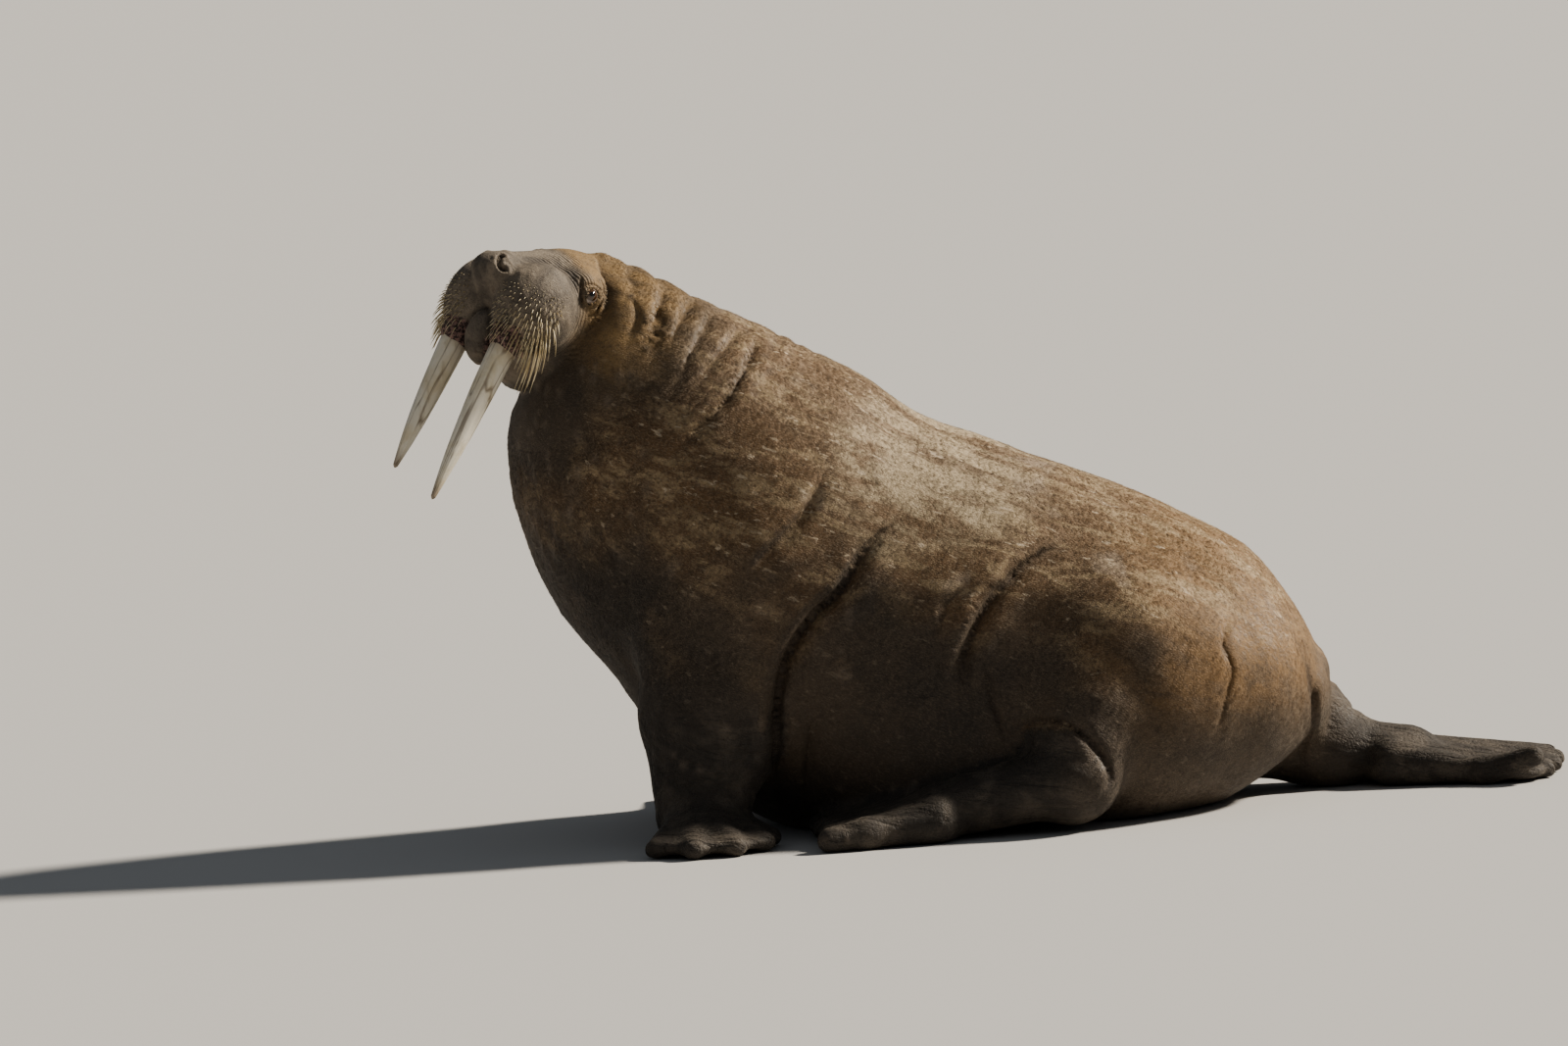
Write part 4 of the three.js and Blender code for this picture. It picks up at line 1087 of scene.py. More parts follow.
def whisker_lines(side, seed):
    roots, ray, share, roll = whisker_roots(side, seed)
    length = mix(*WHISKER_LENGTH, share)
    even = np.ones(len(share))
    lean = [0.1 * even, side * 0.16 * even, -0.45 - 0.6 * share + 0.2 * roll]
    way = unit(ray + np.stack(lean, axis=1))
    droop = np.stack([-0.25 * even, -side * (0.2 + 0.4 * share), -0.75 * even], axis=1)
    lines = []
    for t in np.linspace(0, 1, WHISKER_STATIONS):
        lines.append(roots + (way * t + droop * (WHISKER_SAG * t * t)) * length[:, None])
    lines = np.stack(lines, axis=1)
    lines[:, 0] -= ray * WHISKER_BURIED
    away, reach = from_tusk(lines, side)
    by_tusk = (away < TUSK_WIDTH + TUSK_CLEAR) & (reach > -30)
    past_middle = side * lines[..., 1] < 6
    clear = ~(by_tusk | past_middle).any(axis=1)
    lip_height, lip_half = LIP_BARE
    on_lip = (roots[:, 2] < lip_height) & (np.abs(roots[:, 1] - side * TUSK_LIP[1]) < lip_half)
    keep = clear & ~on_lip
    radius = mix(*WHISKER_RADIUS, share)
    return from_head(lines[keep]), radius[keep], roots[keep]


def between_rings(index):
    """Triangles between neighbouring rings of points, each ring numbered along the last axis."""
    turned = np.roll(index, -1, axis=-1)
    a, b = index[..., :-1, :], turned[..., :-1, :]
    c, d = index[..., 1:, :], turned[..., 1:, :]
    return [np.stack(corners, -1).reshape(-1, 3) for corners in ((a, b, d), (a, d, c))]


def tubes(lines, radii, sides, taper):
    """Closed tapering tubes along many lines at once, as points and triangles."""
    count, stations = lines.shape[:2]
    along = unit(np.gradient(lines, axis=1))
    wide = unit(np.cross(along, [0.31, 0.52, 0.8]))
    high = np.cross(along, wide)
    angle = 2 * math.pi * np.arange(sides) / sides
    width = radii[:, None] * taper[None, :]
    ring = wide[:, :, None] * np.cos(angle)[:, None] + high[:, :, None] * np.sin(angle)[:, None]
    points = lines[:, :, None] + ring * width[:, :, None, None]
    index = np.arange(count * stations * sides).reshape(count, stations, sides)
    faces = between_rings(index)
    for k in range(1, sides - 1):
        faces.append(np.stack([index[:, 0, 0], index[:, 0, k + 1], index[:, 0, k]], -1))
        faces.append(np.stack([index[:, -1, 0], index[:, -1, k], index[:, -1, k + 1]], -1))
    return points.reshape(-1, 3), np.concatenate(faces)


# Meshes
def make_mesh(name, points, faces, material):
    mesh = bpy.data.meshes.new(name)
    mesh.vertices.add(len(points))
    mesh.vertices.foreach_set("co", (np.asarray(points) * MM).astype(np.float32).ravel())
    mesh.loops.add(len(faces) * 3)
    mesh.loops.foreach_set("vertex_index", np.asarray(faces, dtype=np.int32).ravel())
    mesh.polygons.add(len(faces))
    mesh.polygons.foreach_set("loop_start", np.arange(0, len(faces) * 3, 3, dtype=np.int32))
    mesh.polygons.foreach_set("use_smooth", np.ones(len(faces), dtype=bool))
    mesh.update(calc_edges=True)
    mesh.validate()
    mesh.materials.append(material)
    item = bpy.data.objects.new(name, mesh)
    bpy.context.collection.objects.link(item)
    return item


def add_marks(item, name, red, green, blue):
    """Three shares at each point, which a material reads by this name."""
    layer = item.data.attributes.new(name, "FLOAT_COLOR", "POINT")
    colours = np.stack([red, green, blue, np.ones(len(red))], axis=1).astype(np.float32)
    layer.data.foreach_set("color", colours.ravel())


# Materials
class Nodes:
    """Makes the nodes of one material."""

    def __init__(self, name):
        self.material = bpy.data.materials.new(name)
        self.material.use_nodes = True
        self.tree = self.material.node_tree
        self.shader = self.tree.nodes["Principled BSDF"]

    def node(self, kind, inputs=None, **settings):
        node = self.tree.nodes.new(kind)
        for key, value in settings.items():
            setattr(node, key, value)
        for key, value in (inputs or {}).items():
            self.put(node.inputs[key], value)
        return node

    def put(self, socket, value):
        if isinstance(value, bpy.types.NodeSocket):
            self.tree.links.new(value, socket)
        else:
            socket.default_value = value

    def set(self, **inputs):
        for key, value in inputs.items():
            self.put(self.shader.inputs[key.replace("_", " ")], value)

    def place(self):
        return self.node("ShaderNodeTexCoord").outputs["Object"]

    def stretched(self, place, scale):
        return self.node("ShaderNodeMapping", {"Vector": place, "Scale": scale}).outputs[0]

    def turned(self, place, angle):
        return self.node("ShaderNodeMapping", {"Vector": place, "Rotation": (0, angle, 0)}).outputs[0]

    def noise(self, place, scale, detail=3.0, roughness=0.55, distortion=0.0):
        inputs = {"Vector": place, "Scale": scale, "Detail": detail}
        inputs |= {"Roughness": roughness, "Distortion": distortion}
        return self.node("ShaderNodeTexNoise", inputs).outputs[0]

    def cell_edges(self, place, scale):
        inputs = {"Vector": place, "Scale": scale}
        node = self.node("ShaderNodeTexVoronoi", inputs, feature="DISTANCE_TO_EDGE")
        return node.outputs["Distance"]

    def math(self, operation, a, b=0.0, c=0.0):
        node = self.node("ShaderNodeMath", operation=operation)
        for socket, value in zip(node.inputs, (a, b, c)):
            self.put(socket, value)
        return node.outputs[0]

    def between(self, value, low, high, to_low=0.0, to_high=1.0):
        node = self.node("ShaderNodeMapRange", interpolation_type="SMOOTHSTEP")
        keys = ("Value", "From Min", "From Max", "To Min", "To Max")
        for key, number in zip(keys, (value, low, high, to_low, to_high)):
            self.put(node.inputs[key], number)
        return node.outputs[0]

    def mix(self, share, a, b):
        node = self.node("ShaderNodeMix", data_type="RGBA")
        for socket, value in zip((node.inputs[0], node.inputs[6], node.inputs[7]), (share, a, b)):
            single = isinstance(value, (float, int, bpy.types.NodeSocket))
            self.put(socket, value if single else (*value, 1.0))
        return node.outputs[2]

    def marks(self, name):
        node = self.node("ShaderNodeAttribute", attribute_name=name)
        return self.node("ShaderNodeSeparateColor", {"Color": node.outputs["Color"]}).outputs

    def bump(self, height, distance, strength=1.0, normal=None):
        inputs = {"Height": height, "Distance": distance, "Strength": strength}
        if normal is not None:
            inputs["Normal"] = normal
        return self.node("ShaderNodeBump", inputs).outputs[0]


# Colours of the body, of the bare parts, and of what is marked on them, with painted shade in folds and
# pits
# The flank browns are partly the hide's own dark brown, partly painted shade on the sides and underside
FLANK_SHADED_BROWN = (0.086, 0.064, 0.046)
FLANK_SHADED_DARK = (0.046, 0.037, 0.030)
BACK_BROWN = (0.175, 0.108, 0.056)
BACK_TAN = (0.360, 0.270, 0.165)
SADDLE_CREAM = (0.470, 0.385, 0.265)
CINNAMON = (0.240, 0.140, 0.058)
NAPE_GOLD = (0.300, 0.195, 0.090)
BARE_GREY = (0.300, 0.240, 0.185)
FLECK = (0.520, 0.430, 0.320)
FACE_GREY = (0.100, 0.084, 0.069)
FACE_PALE = (0.250, 0.208, 0.162)
# The limb colours are partly their own dark grey, partly painted shade
LIMB_SHADED_GREY = (0.048, 0.041, 0.035)
LIMB_SHADED_PALE = (0.098, 0.082, 0.066)
# Painted shade for creases, holes and the low places of the speckle bump
PAINTED_SHADE_DARK = (0.035, 0.024, 0.018)
LUMP_PALE = (0.215, 0.172, 0.132)
GUM_PINK = (0.300, 0.190, 0.165)
GUM_DARK = (0.050, 0.034, 0.032)
# Painted shade of the dimples round the whisker roots
PIT_SHADE_DARK = (0.020, 0.014, 0.010)
HORN_DARK = (0.520, 0.420, 0.250)
HORN_PALE = (0.720, 0.630, 0.440)
IVORY = (0.780, 0.730, 0.620)
IVORY_STAIN = (0.660, 0.580, 0.420)
IVORY_STREAK = (0.400, 0.320, 0.200)
IVORY_TIP = (0.170, 0.110, 0.060)
IVORY_ROOT = (0.300, 0.210, 0.130)
IVORY_CRACK = (0.140, 0.090, 0.050)
PUPIL_BLACK = (0.006, 0.004, 0.003)
IRIS_DARK = (0.055, 0.026, 0.012)
IRIS_BROWN = (0.100, 0.050, 0.022)
EYE_WHITE = (0.340, 0.280, 0.240)
FLOOR_PALE = (0.550, 0.540, 0.525, 1)
BODY_SLOPE = math.radians(-24)  # of the back, from the nape down to the rump
WRINKLE_SLOPE = math.radians(-12)  # of the long wrinkles on the limbs
ARC_SPACING, ARC_WOBBLE = 0.0085, 0.014  # of the fine wrinkles round the whisker pads


def body_colour(n, place, speckle, grain):
    """Brown flanks darkened partly as painted shade, a pale saddle over the shoulders, streaks on the
    back and a cinnamon rump.
    """
    tones, regions = n.marks("tones"), n.marks("regions")
    saddle, rump, nape = tones[0], tones[1], tones[2]
    back = regions[0]
    level = n.turned(place, BODY_SLOPE)
    broad = n.noise(place, 3.0, 4, 0.6, 0.4)
    streak = n.noise(n.stretched(level, (0.30, 1, 1)), 17.0, 5, 0.68, 0.5)
    fleck = n.noise(n.stretched(level, (0.34, 1, 1)), 58.0, 3, 0.6, 0.3)
    # Flanks and underside: their own brown, darkened partly as painted shade
    colour = n.mix(n.between(broad, 0.36, 0.64), FLANK_SHADED_DARK, FLANK_SHADED_BROWN)
    colour = n.mix(n.math("MULTIPLY", back, n.between(broad, 0.25, 0.6, 0.55, 1.0)), colour, BACK_BROWN)
    colour = n.mix(n.math("MULTIPLY", nape, n.between(streak, 0.3, 0.6, 0.45, 0.9)), colour, NAPE_GOLD)
    colour = n.mix(n.math("MULTIPLY", rump, n.between(streak, 0.3, 0.6, 0.5, 0.95)), colour, CINNAMON)
    tan = n.math("MULTIPLY", n.between(streak, 0.47, 0.60), n.between(speckle, 0.30, 0.60, 0.35, 0.95))
    colour = n.mix(n.math("MULTIPLY", tan, back), colour, BACK_TAN)
    cream = n.math("MULTIPLY", saddle, n.between(streak, 0.36, 0.56))
    cream = n.math("MULTIPLY", cream, n.between(speckle, 0.30, 0.62, 0.45, 0.95))
    colour = n.mix(cream, colour, SADDLE_CREAM)
    bare = n.math("MULTIPLY", n.between(n.noise(place, 6.5, 3, 0.5), 0.60, 0.70), back)
    colour = n.mix(n.math("MULTIPLY", bare, 0.55), colour, BARE_GREY)
    flecks = n.math("MULTIPLY", n.between(fleck, 0.62, 0.69), n.math("MULTIPLY_ADD", back, 0.75, 0.12))
    colour = n.mix(flecks, colour, FLECK)
    hairs = n.math("MULTIPLY", n.between(grain, 0.45, 0.7), n.math("MULTIPLY_ADD", back, 0.18, 0.12))
    return n.mix(hairs, colour, FLECK)


def skin_colour(n, place, speckle, grain):
    """The colour at each place, which the skin and the coat share."""
    regions, marks, more = n.marks("regions"), n.marks("marks"), n.marks("more")
    face, limb_share = regions[1], regions[2]
    fold, lump_share, pit_shade = marks[0], marks[1], marks[2]
    patch = n.noise(place, 11.0, 5, 0.62, 0.5)
    colour = body_colour(n, place, speckle, grain)
    # Limbs: their own dark grey, darkened partly as painted shade
    colour = n.mix(limb_share, colour, n.mix(n.between(patch, 0.42, 0.66), LIMB_SHADED_GREY, LIMB_SHADED_PALE))
    colour = n.mix(face, colour, n.mix(n.between(patch, 0.36, 0.66), FACE_GREY, FACE_PALE))
    colour = n.mix(n.math("MULTIPLY", lump_share, 0.55), colour, LUMP_PALE)
    colour = n.mix(more[0], colour, n.mix(n.between(speckle, 0.45, 0.58), GUM_DARK, GUM_PINK))
    # Painted shade in the low places of the speckle bump
    colour = n.mix(n.between(speckle, 0.5, 0.34, 0.0, 0.34), colour, PAINTED_SHADE_DARK)
    # Painted shade down in body folds, face folds, neck ring valleys, nostrils, mouth line and ear holes
    colour = n.mix(n.math("MULTIPLY", fold, 0.55), colour, PAINTED_SHADE_DARK)
    # Painted shade of dimples round the whisker roots
    return n.mix(pit_shade, colour, PIT_SHADE_DARK)


def fine_noises(n, place):
    """The noises that the skin and the coat share: fine specks, and hairs that lie along the body."""
    speckle = n.noise(place, 105.0, 4, 0.68)
    grain = n.noise(n.stretched(n.turned(place, BODY_SLOPE), (0.4, 1, 1)), 330.0, 2, 0.6)
    return speckle, grain


def skin_material():
    """Cracked bare skin, specks, pleats on the limbs, wrinkles round the pads and lying hair."""
    n = Nodes("skin")
    place = n.place()
    regions, more = n.marks("regions"), n.marks("more")
    speckle, grain = fine_noises(n, place)
    face, limb_share = regions[1], regions[2]
    wobble = n.math("MULTIPLY_ADD", n.noise(place, 24.0, 2, 0.5), ARC_WOBBLE, more[1])
    arcs = n.math("SINE", n.math("MULTIPLY", wobble, 2 * math.pi / ARC_SPACING))
    arcs = n.math("MULTIPLY", n.math("POWER", n.between(arcs, -1, 1), 0.6), more[2])
    crackle = n.between(n.cell_edges(n.stretched(place, (1, 1, 0.6)), 85.0), 0.0, 0.2)
    bare = n.math("MULTIPLY_ADD", face, 0.35, n.math("ADD", limb_share, 0.22))
    bare = n.math("MULTIPLY", bare, n.between(n.noise(place, 22.0, 2, 0.5), 0.35, 0.65, 0.3, 1))
    normal = n.bump(n.math("MULTIPLY", crackle, bare), 0.0020, 0.5)
    normal = n.bump(speckle, 0.0020, 0.45, normal)
    pleats = n.noise(n.stretched(n.turned(place, WRINKLE_SLOPE), (0.14, 1, 1)), 34.0, 3, 0.5, 0.3)
    pleats = n.math("MULTIPLY", n.between(pleats, 0.3, 0.6), limb_share)
    normal = n.bump(pleats, 0.008, 0.8, normal)
    normal = n.bump(arcs, 0.0026, 0.9, normal)
    normal = n.bump(grain, 0.0028, 0.75, normal)
    n.set(
        Base_Color=skin_colour(n, place, speckle, grain),
        Roughness=n.between(grain, 0.3, 0.7, 0.60, 0.84),
        Normal=normal,
        Sheen_Weight=0.12,
        Sheen_Roughness=0.5,
        Sheen_Tint=(0.9, 0.78, 0.62, 1),
        Specular_IOR_Level=0.35,
    )
    return n.material


def coat_material():
    n = Nodes("coat")
    place = n.place()
    speckle, grain = fine_noises(n, place)
    n.set(
        Base_Color=skin_colour(n, place, speckle, grain),
        Roughness=n.between(grain, 0.3, 0.7, 0.48, 0.66),
        Specular_IOR_Level=0.4,
    )
    return n.material


def whisker_material():
    n = Nodes("whiskers")
    place = n.place()
    shade = n.between(n.noise(place, 30.0, 2), 0.35, 0.65)
    colour = n.mix(shade, HORN_DARK, HORN_PALE)
    n.set(Base_Color=colour, Roughness=0.38, Specular_IOR_Level=0.5)
    return n.material


# Regions and marks of the skin, with the painted shade of folds and pits
ARC_MIDDLE = (-60, 15)  # the fine wrinkles round the whisker pad, by the head's front and up
ARC_FROM = (92, 128)
SADDLE = (np.array([-120, 0, 900]), np.array([290, 1, 230]))
FORE_NEAR, HIND_NEAR = 26, 22
FOLD_SHADE_DEPTHS = (16, 9)  # of body and face folds at which the painted shade is full
# The painted shade round the whisker roots: how dark, how wide, how near the head, and in how many parts
PIT_SHARE, PIT_SIZE, PIT_REACH, PIT_PARTS = 0.8, 2.6, 330, 8
GUM_EDGE, GUM_HEIGHTS = (62, 48), (-62, 60)


def region_marks(p, faces, lump, ring_height, whisker_places):
    """The layers of shares that the materials read, by name."""
    n = normals_of(p, faces)
    q = to_head(p)
    half = folded(q)
    t, angle = trunk_place(p)
    place = t / STEPS
    wander = noise(p, 140, 21) * 0.2 + noise(p, 50, 22) * 0.08
    # Upward-facing, high skin takes the lighter back colours: partly the hide's own paler back, partly
    # painted light on the top
    back = step(-0.15, 0.5, n[:, 2] * 0.8 + (p[:, 2] - 640) / 800 + wander)
    back *= step(1.6, 3.0, place + 3 * wander)
    from_saddle = np.linalg.norm((p - SADDLE[0]) * [1, 0, 1] / SADDLE[1], axis=1)
    saddle = step(1.15, 0.55, from_saddle + 1.2 * wander)
    # The saddle keeps to upward-facing skin: partly its own pale hair, partly painted light
    saddle *= step(-0.35, 0.35, n[:, 2] + wander)
    rump = step(230, 560, p[:, 0] + 500 * wander) * step(150, 420, p[:, 2])
    nape = step(2.6, 1.2, place + wander) * step(1.9, 1.0, np.abs(angle) + wander)
    face = step(-232, -178, q[:, 0] + 12 * noise(p, 60, 23)) * (np.linalg.norm(q, axis=1) < 420)
    on_fore = np.minimum(fore_limb(p), fore_limb_right(p)) < FORE_NEAR
    fore = step(430, 250, p[:, 2] + 80 * wander) * on_fore
    hind = (left_foot(p) < HIND_NEAR) * step(330, 120, p[:, 0]) * (p[:, 2] < 260)
    hind_right = step(800, 980, p[:, 0])
    limbs = np.maximum(fore, np.maximum(hind, hind_right))
    # Painted shade: the fold mark darkens the skin by the depth of body folds and face marks, and in the
    # neck ring valleys
    fold = body_folds(p) / FOLD_SHADE_DEPTHS[0] + head_marks(p) / FOLD_SHADE_DEPTHS[1]
    fold = np.clip(fold, 0, 1)
    fold = np.maximum(fold, np.clip(-ring_height * 2 - 0.3, 0, 1))
    away, reach = from_tusk(half)
    gum = step(*GUM_EDGE, away + 5 * noise(p, 18, 24))
    gum *= (reach > GUM_HEIGHTS[0]) * (reach < GUM_HEIGHTS[1])
    arc = np.hypot(half[:, 0] - ARC_MIDDLE[0], half[:, 2] - ARC_MIDDLE[1])
    arc_share = step(*ARC_FROM, arc) * step(-236, -205, half[:, 0]) * step(30, 60, half[:, 1])
    arc_share *= step(-110, -50, half[:, 2])
    pit_shade = PIT_SHARE * pit_shade_at(p, whisker_places)
    return {
        "regions": (back, face, limbs),
        "tones": (saddle, rump, nape),
        "marks": (fold, lump, pit_shade),
        "more": (gum, arc * MM, arc_share),
    }


def pit_shade_at(p, roots):
    """Painted shade: dark dimples round the whisker roots."""
    dark = np.zeros(len(p))
    close = np.flatnonzero(np.linalg.norm(to_head(p), axis=1) < PIT_REACH)
    some = p[close]
    for part in np.array_split(roots, PIT_PARTS):
        d = np.linalg.norm(some[:, None] - part[None], axis=2).min(axis=1)
        dark[close] = np.maximum(dark[close], np.exp(-((d / PIT_SIZE) ** 2)))
    return dark


WHISKERS_OF = {1: whisker_lines(1, 31), -1: whisker_lines(-1, 32)}
root_places = np.concatenate([from_head(roots) for _, _, roots in WHISKERS_OF.values()])
skin_marks = region_marks(skin_points, skin_faces, lump_at, rings_at, root_places)
skin = make_mesh("skin", skin_points, skin_faces, skin_material())
for name, shares in skin_marks.items():
    add_marks(skin, name, *shares)
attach(skin, "root")
FLESH = [
    "neck", "chest", "belly", "rump", "head", "nose", "lower_jaw", "muzzle_left", "muzzle_right",
    "fore_flipper_left", "fore_flipper_right", "hind_flipper_left", "hind_flipper_right", "tail",
]
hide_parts(*FLESH)

# Coat: short tufts that lie along the body, thinner and smaller on the head and limbs
TUFT_BLADES = 2
TUFT_STATIONS = (0.0, 0.55, 1.0)
TUFT_FAN = math.radians(14)
TUFT_RISE = (0.10, 0.24)  # of the length, at the tip
TUFT_PATCH = 0.003  # across, on the unwrap
UNWRAP_MARGIN = 0.01
# Each piece of the coat: tufts, their length and half width at the root
COATS = {
    "neck": (31000, 11.0, 0.85),
    "shoulders": (32000, 13.0, 0.95),
    "flanks": (32000, 13.0, 0.95),
    "rump": (32000, 13.0, 0.95),
    "head": (28000, 6.5, 0.6),
    "fore_left": (7000, 7.5, 0.7),
    "fore_right": (7000, 7.5, 0.7),
    "hind_left": (7000, 7.5, 0.7),
    "hind_right": (9000, 7.5, 0.7),
}
COAT_FLOOR = (16, 60)  # no tuft grows below the first height, and all do above the second
COAT_NEAR_FORE, COAT_NEAR_HIND = 40, 26
BARE_RING = (20, 34)  # bare up to the first distance from an eye or nostril
ASTRAY_SIZE, ASTRAY_SHARE = 120, 0.25
TUFT_SMALLEST = 0.62
TUFT_BURIED, TUFT_APART = 0.6, 1.6


def around(p, axis, centre):
    """Share of a turn about an axis through centre."""
    a, b = [k for k in range(3) if k != axis]
    return np.arctan2(p[:, b] - centre[b], p[:, a] - centre[a]) / (2 * math.pi) + 0.5


def coat_region(p):
    """Which piece of the coat covers each point."""
    t, _ = trunk_place(p)
    place = t / STEPS
    names = np.select([place < 2.6, place < 4.7, place < 7.0], ["neck", "shoulders", "flanks"], "rump")
    names = names.astype("U12")
    low = p[:, 2] < 420
    names[low & (fore_limb(p) < COAT_NEAR_FORE)] = "fore_left"
    names[low & (fore_limb_right(p) < COAT_NEAR_FORE)] = "fore_right"
    names[(p[:, 0] < 250) & (left_foot(p) < COAT_NEAR_HIND)] = "hind_left"
    names[p[:, 0] > 830] = "hind_right"
    q = to_head(p)
    names[(q[:, 0] > -300) & (np.linalg.norm(q, axis=1) < 430)] = "head"
    return names


def unwrapped(p, name):
    """The skin laid flat: the way along a part, and the turn round it."""
    if name == "head":
        q = to_head(p)
        along, turn = q[:, 0], around(q, 0, (0, 0, 40))
    elif name.startswith("fore"):
        side = 1 if name.endswith("right") else -1
        along, turn = p[:, 2], around(p, 2, (-720, side * 440, 0))
    elif name.startswith("hind"):
        side = 240 if name.endswith("right") else -530
        along, turn = p[:, 0], around(p, 0, (0, side, 80))
    else:
        t, angle = trunk_place(p)
        along = np.interp(t, np.arange(LAST_SECTION + 1), BACK_LENGTH)
        turn = angle / (2 * math.pi) + 0.5
    share = (along - along.min()) / (along.max() - along.min())
    return np.stack([share, turn], axis=1) * (1 - 2 * UNWRAP_MARGIN) + UNWRAP_MARGIN


def hair_way(p, name):
    """Which way the hair lies: back from the nose, along the body, and down the limbs."""
    if name == "head":
        return unit(p - HEAD_POINT) + [0.2, 0, -0.25]
    if name.startswith("fore"):
        return np.array([-0.1, 0, -1.0]) + 0 * p
    if name == "hind_left":
        return np.array([-1.0, -0.1, -0.2]) + 0 * p
    if name == "hind_right":
        return np.array([1.0, 0, -0.2]) + 0 * p
    astray = [noise(p, ASTRAY_SIZE, 61), noise(p, ASTRAY_SIZE, 62), 0 * p[:, 0]]
    return unit([0.86, 0, -0.42]) + [0, 0, -0.35] + np.stack(astray, 1) * ASTRAY_SHARE


def coat_roots(p, faces, seed):
    """Places spread evenly over the skin, as triangles and shares of their three corners."""
    pick = np.random.default_rng(seed)
    a, b, c = (p[faces[:, k]] for k in range(3))
    area = np.linalg.norm(np.cross(b - a, c - a), axis=1)
    middle = (a + b + c) / 3
    region = coat_region(middle)
    fade = step(*COAT_FLOOR, middle[:, 2]) * clear_of_face(middle)
    out = {}
    for name, (count, _, _) in COATS.items():
        weight = area * fade * (region == name)
        chosen = pick.choice(len(faces), count, p=weight / weight.sum())
        r, s = pick.uniform(size=(2, count))
        r = np.sqrt(r)
        out[name] = faces[chosen], np.stack([1 - r, r * (1 - s), r * s], axis=1)
    return out


def clear_of_face(p):
    """0 where no hair grows: eyes, nostrils, lips, gums and the front of the whisker pads."""
    q = to_head(p)
    half = folded(q)
    by_eye = step(*BARE_RING, np.linalg.norm(half - EYE, axis=1))
    by_nostril = step(*BARE_RING, np.linalg.norm(half - NOSTRIL, axis=1))
    return by_eye * by_nostril * step(-40, -110, q[:, 0] - 0.4 * q[:, 2])


def tuft_size(p):
    """Tufts grow larger from the face to the neck."""
    q = to_head(p)
    off_face = step(-180, -430, q[:, 0]) + step(430, 560, np.linalg.norm(q, axis=1))
    return mix(TUFT_SMALLEST, 1.0, np.minimum(off_face, 1))[:, None]


def tufts(root, normal, way, length, width, uv, seed):
    """Blades that rise from their roots and bend along the skin, with a patch of the unwrap each."""
    pick = np.random.default_rng(seed)
    count = len(root)
    way = unit(way - normal * (way * normal).sum(1, keepdims=True))
    across = np.cross(normal, way)
    size = pick.uniform(0.7, 1.3, (count, 1)) * tuft_size(root)
    rise = pick.uniform(*TUFT_RISE, (count, 1))
    points, patches = [], []
    for blade in range(TUFT_BLADES):
        lean = TUFT_FAN * (blade - (TUFT_BLADES - 1) / 2) * 2 + pick.normal(0, 0.12, (count, 1))
        ahead = way * np.cos(lean) + across * np.sin(lean)
        beside = np.cross(normal, ahead)
        base = root + across * (blade - 0.5) * width * TUFT_APART - normal * TUFT_BURIED
        for t in TUFT_STATIONS:
            lift = rise * (1.6 * t - 0.6 * t * t)
            middle = base + (ahead * t + normal * lift) * length * size
            half = width * (1 - t) ** 0.7
            for end in (-1, 1) if t < 1 else (0,):
                points.append(middle + beside * half * end)
                patches.append(uv + np.array([t - 0.5, 0.5 * end * (1 - t)]) * TUFT_PATCH)
    return np.stack(points, axis=1), np.stack(patches, axis=1)


BLADE_FACES = np.array([(0, 1, 3), (0, 3, 2), (2, 3, 4)])


def add_unwrap(item, uv):
    """The map of places on the unwrap, one for each point."""
    layer = item.data.uv_layers.new(name="OFBake")
    corner = np.empty(len(item.data.loops), dtype=np.int32)
    item.data.loops.foreach_get("vertex_index", corner)
    layer.data.foreach_set("uv", uv[corner].astype(np.float32).ravel())


def make_coat(p, faces, marks):
    n = normals_of(p, faces)
    look = coat_material()
    for number, (name, (corners, shares)) in enumerate(coat_roots(p, faces, 71).items()):
        _, length, width = COATS[name]

        def spread(values):
            return (values[corners] * shares[..., None]).sum(1)

        root, normal = spread(p), unit(spread(n))
        way, unwrap = hair_way(root, name), unwrapped(root, name)
        points, uv = tufts(root, normal, way, length, width, unwrap, 80 + number)
        count, each = points.shape[:2]
        blades = np.concatenate([BLADE_FACES + 5 * k for k in range(TUFT_BLADES)])
        triangles = (blades[None] + each * np.arange(count)[:, None, None]).reshape(-1, 3)
        item = make_mesh(f"coat_{name}", points.reshape(-1, 3), triangles, look)
        for key, values in marks.items():
            layers = spread(np.stack(values, axis=1))
            add_marks(item, key, *np.repeat(layers, each, axis=0).T)
        add_unwrap(item, uv.reshape(-1, 2))
        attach(item, "root")


make_coat(skin_points, skin_faces, skin_marks)

whisker_look = whisker_material()
WHISKER_TAPER = np.linspace(1, 0.12, WHISKER_STATIONS) ** 0.7
for side, side_name in SIDES:
    lines, radii, _ = WHISKERS_OF[side]
    points, faces = tubes(lines, radii, WHISKER_SIDES, WHISKER_TAPER)
    item = make_mesh(f"whiskers_{side_name}", points, faces, whisker_look)
    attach(item, "root")


# Tusks: oval, bowed, with long cracks and a worn tip
TUSK_LENGTHS = {1: 430, -1: 362}
TUSK_ROOT = 62
TUSK_BOW = 2
TUSK_FLATNESS = 0.76
TUSK_TAPER = (1, 1, 0.98, 0.94, 0.89, 0.83, 0.76, 0.68, 0.58, 0.45, 0.31, 0.17)
TUSK_RINGS, TUSK_SIDES = 150, 96
TUSK_TIP = 0.012  # the share of its length over which the tip is rounded
TUSK_INSET = 0.6
TUSK_GROOVES = ((7, 41, 1.0), (3.4, 42, 0.6))  # size, seed and height
CRACK_SIZE, CRACK_SHARPNESS, CRACK_DEPTH = 9, 9, 1.3
GRAIN_RADIUS, GRAIN_STRETCH, GRAIN_APART = 22, 0.06, 500
RELIEF_SHARE = 0.9


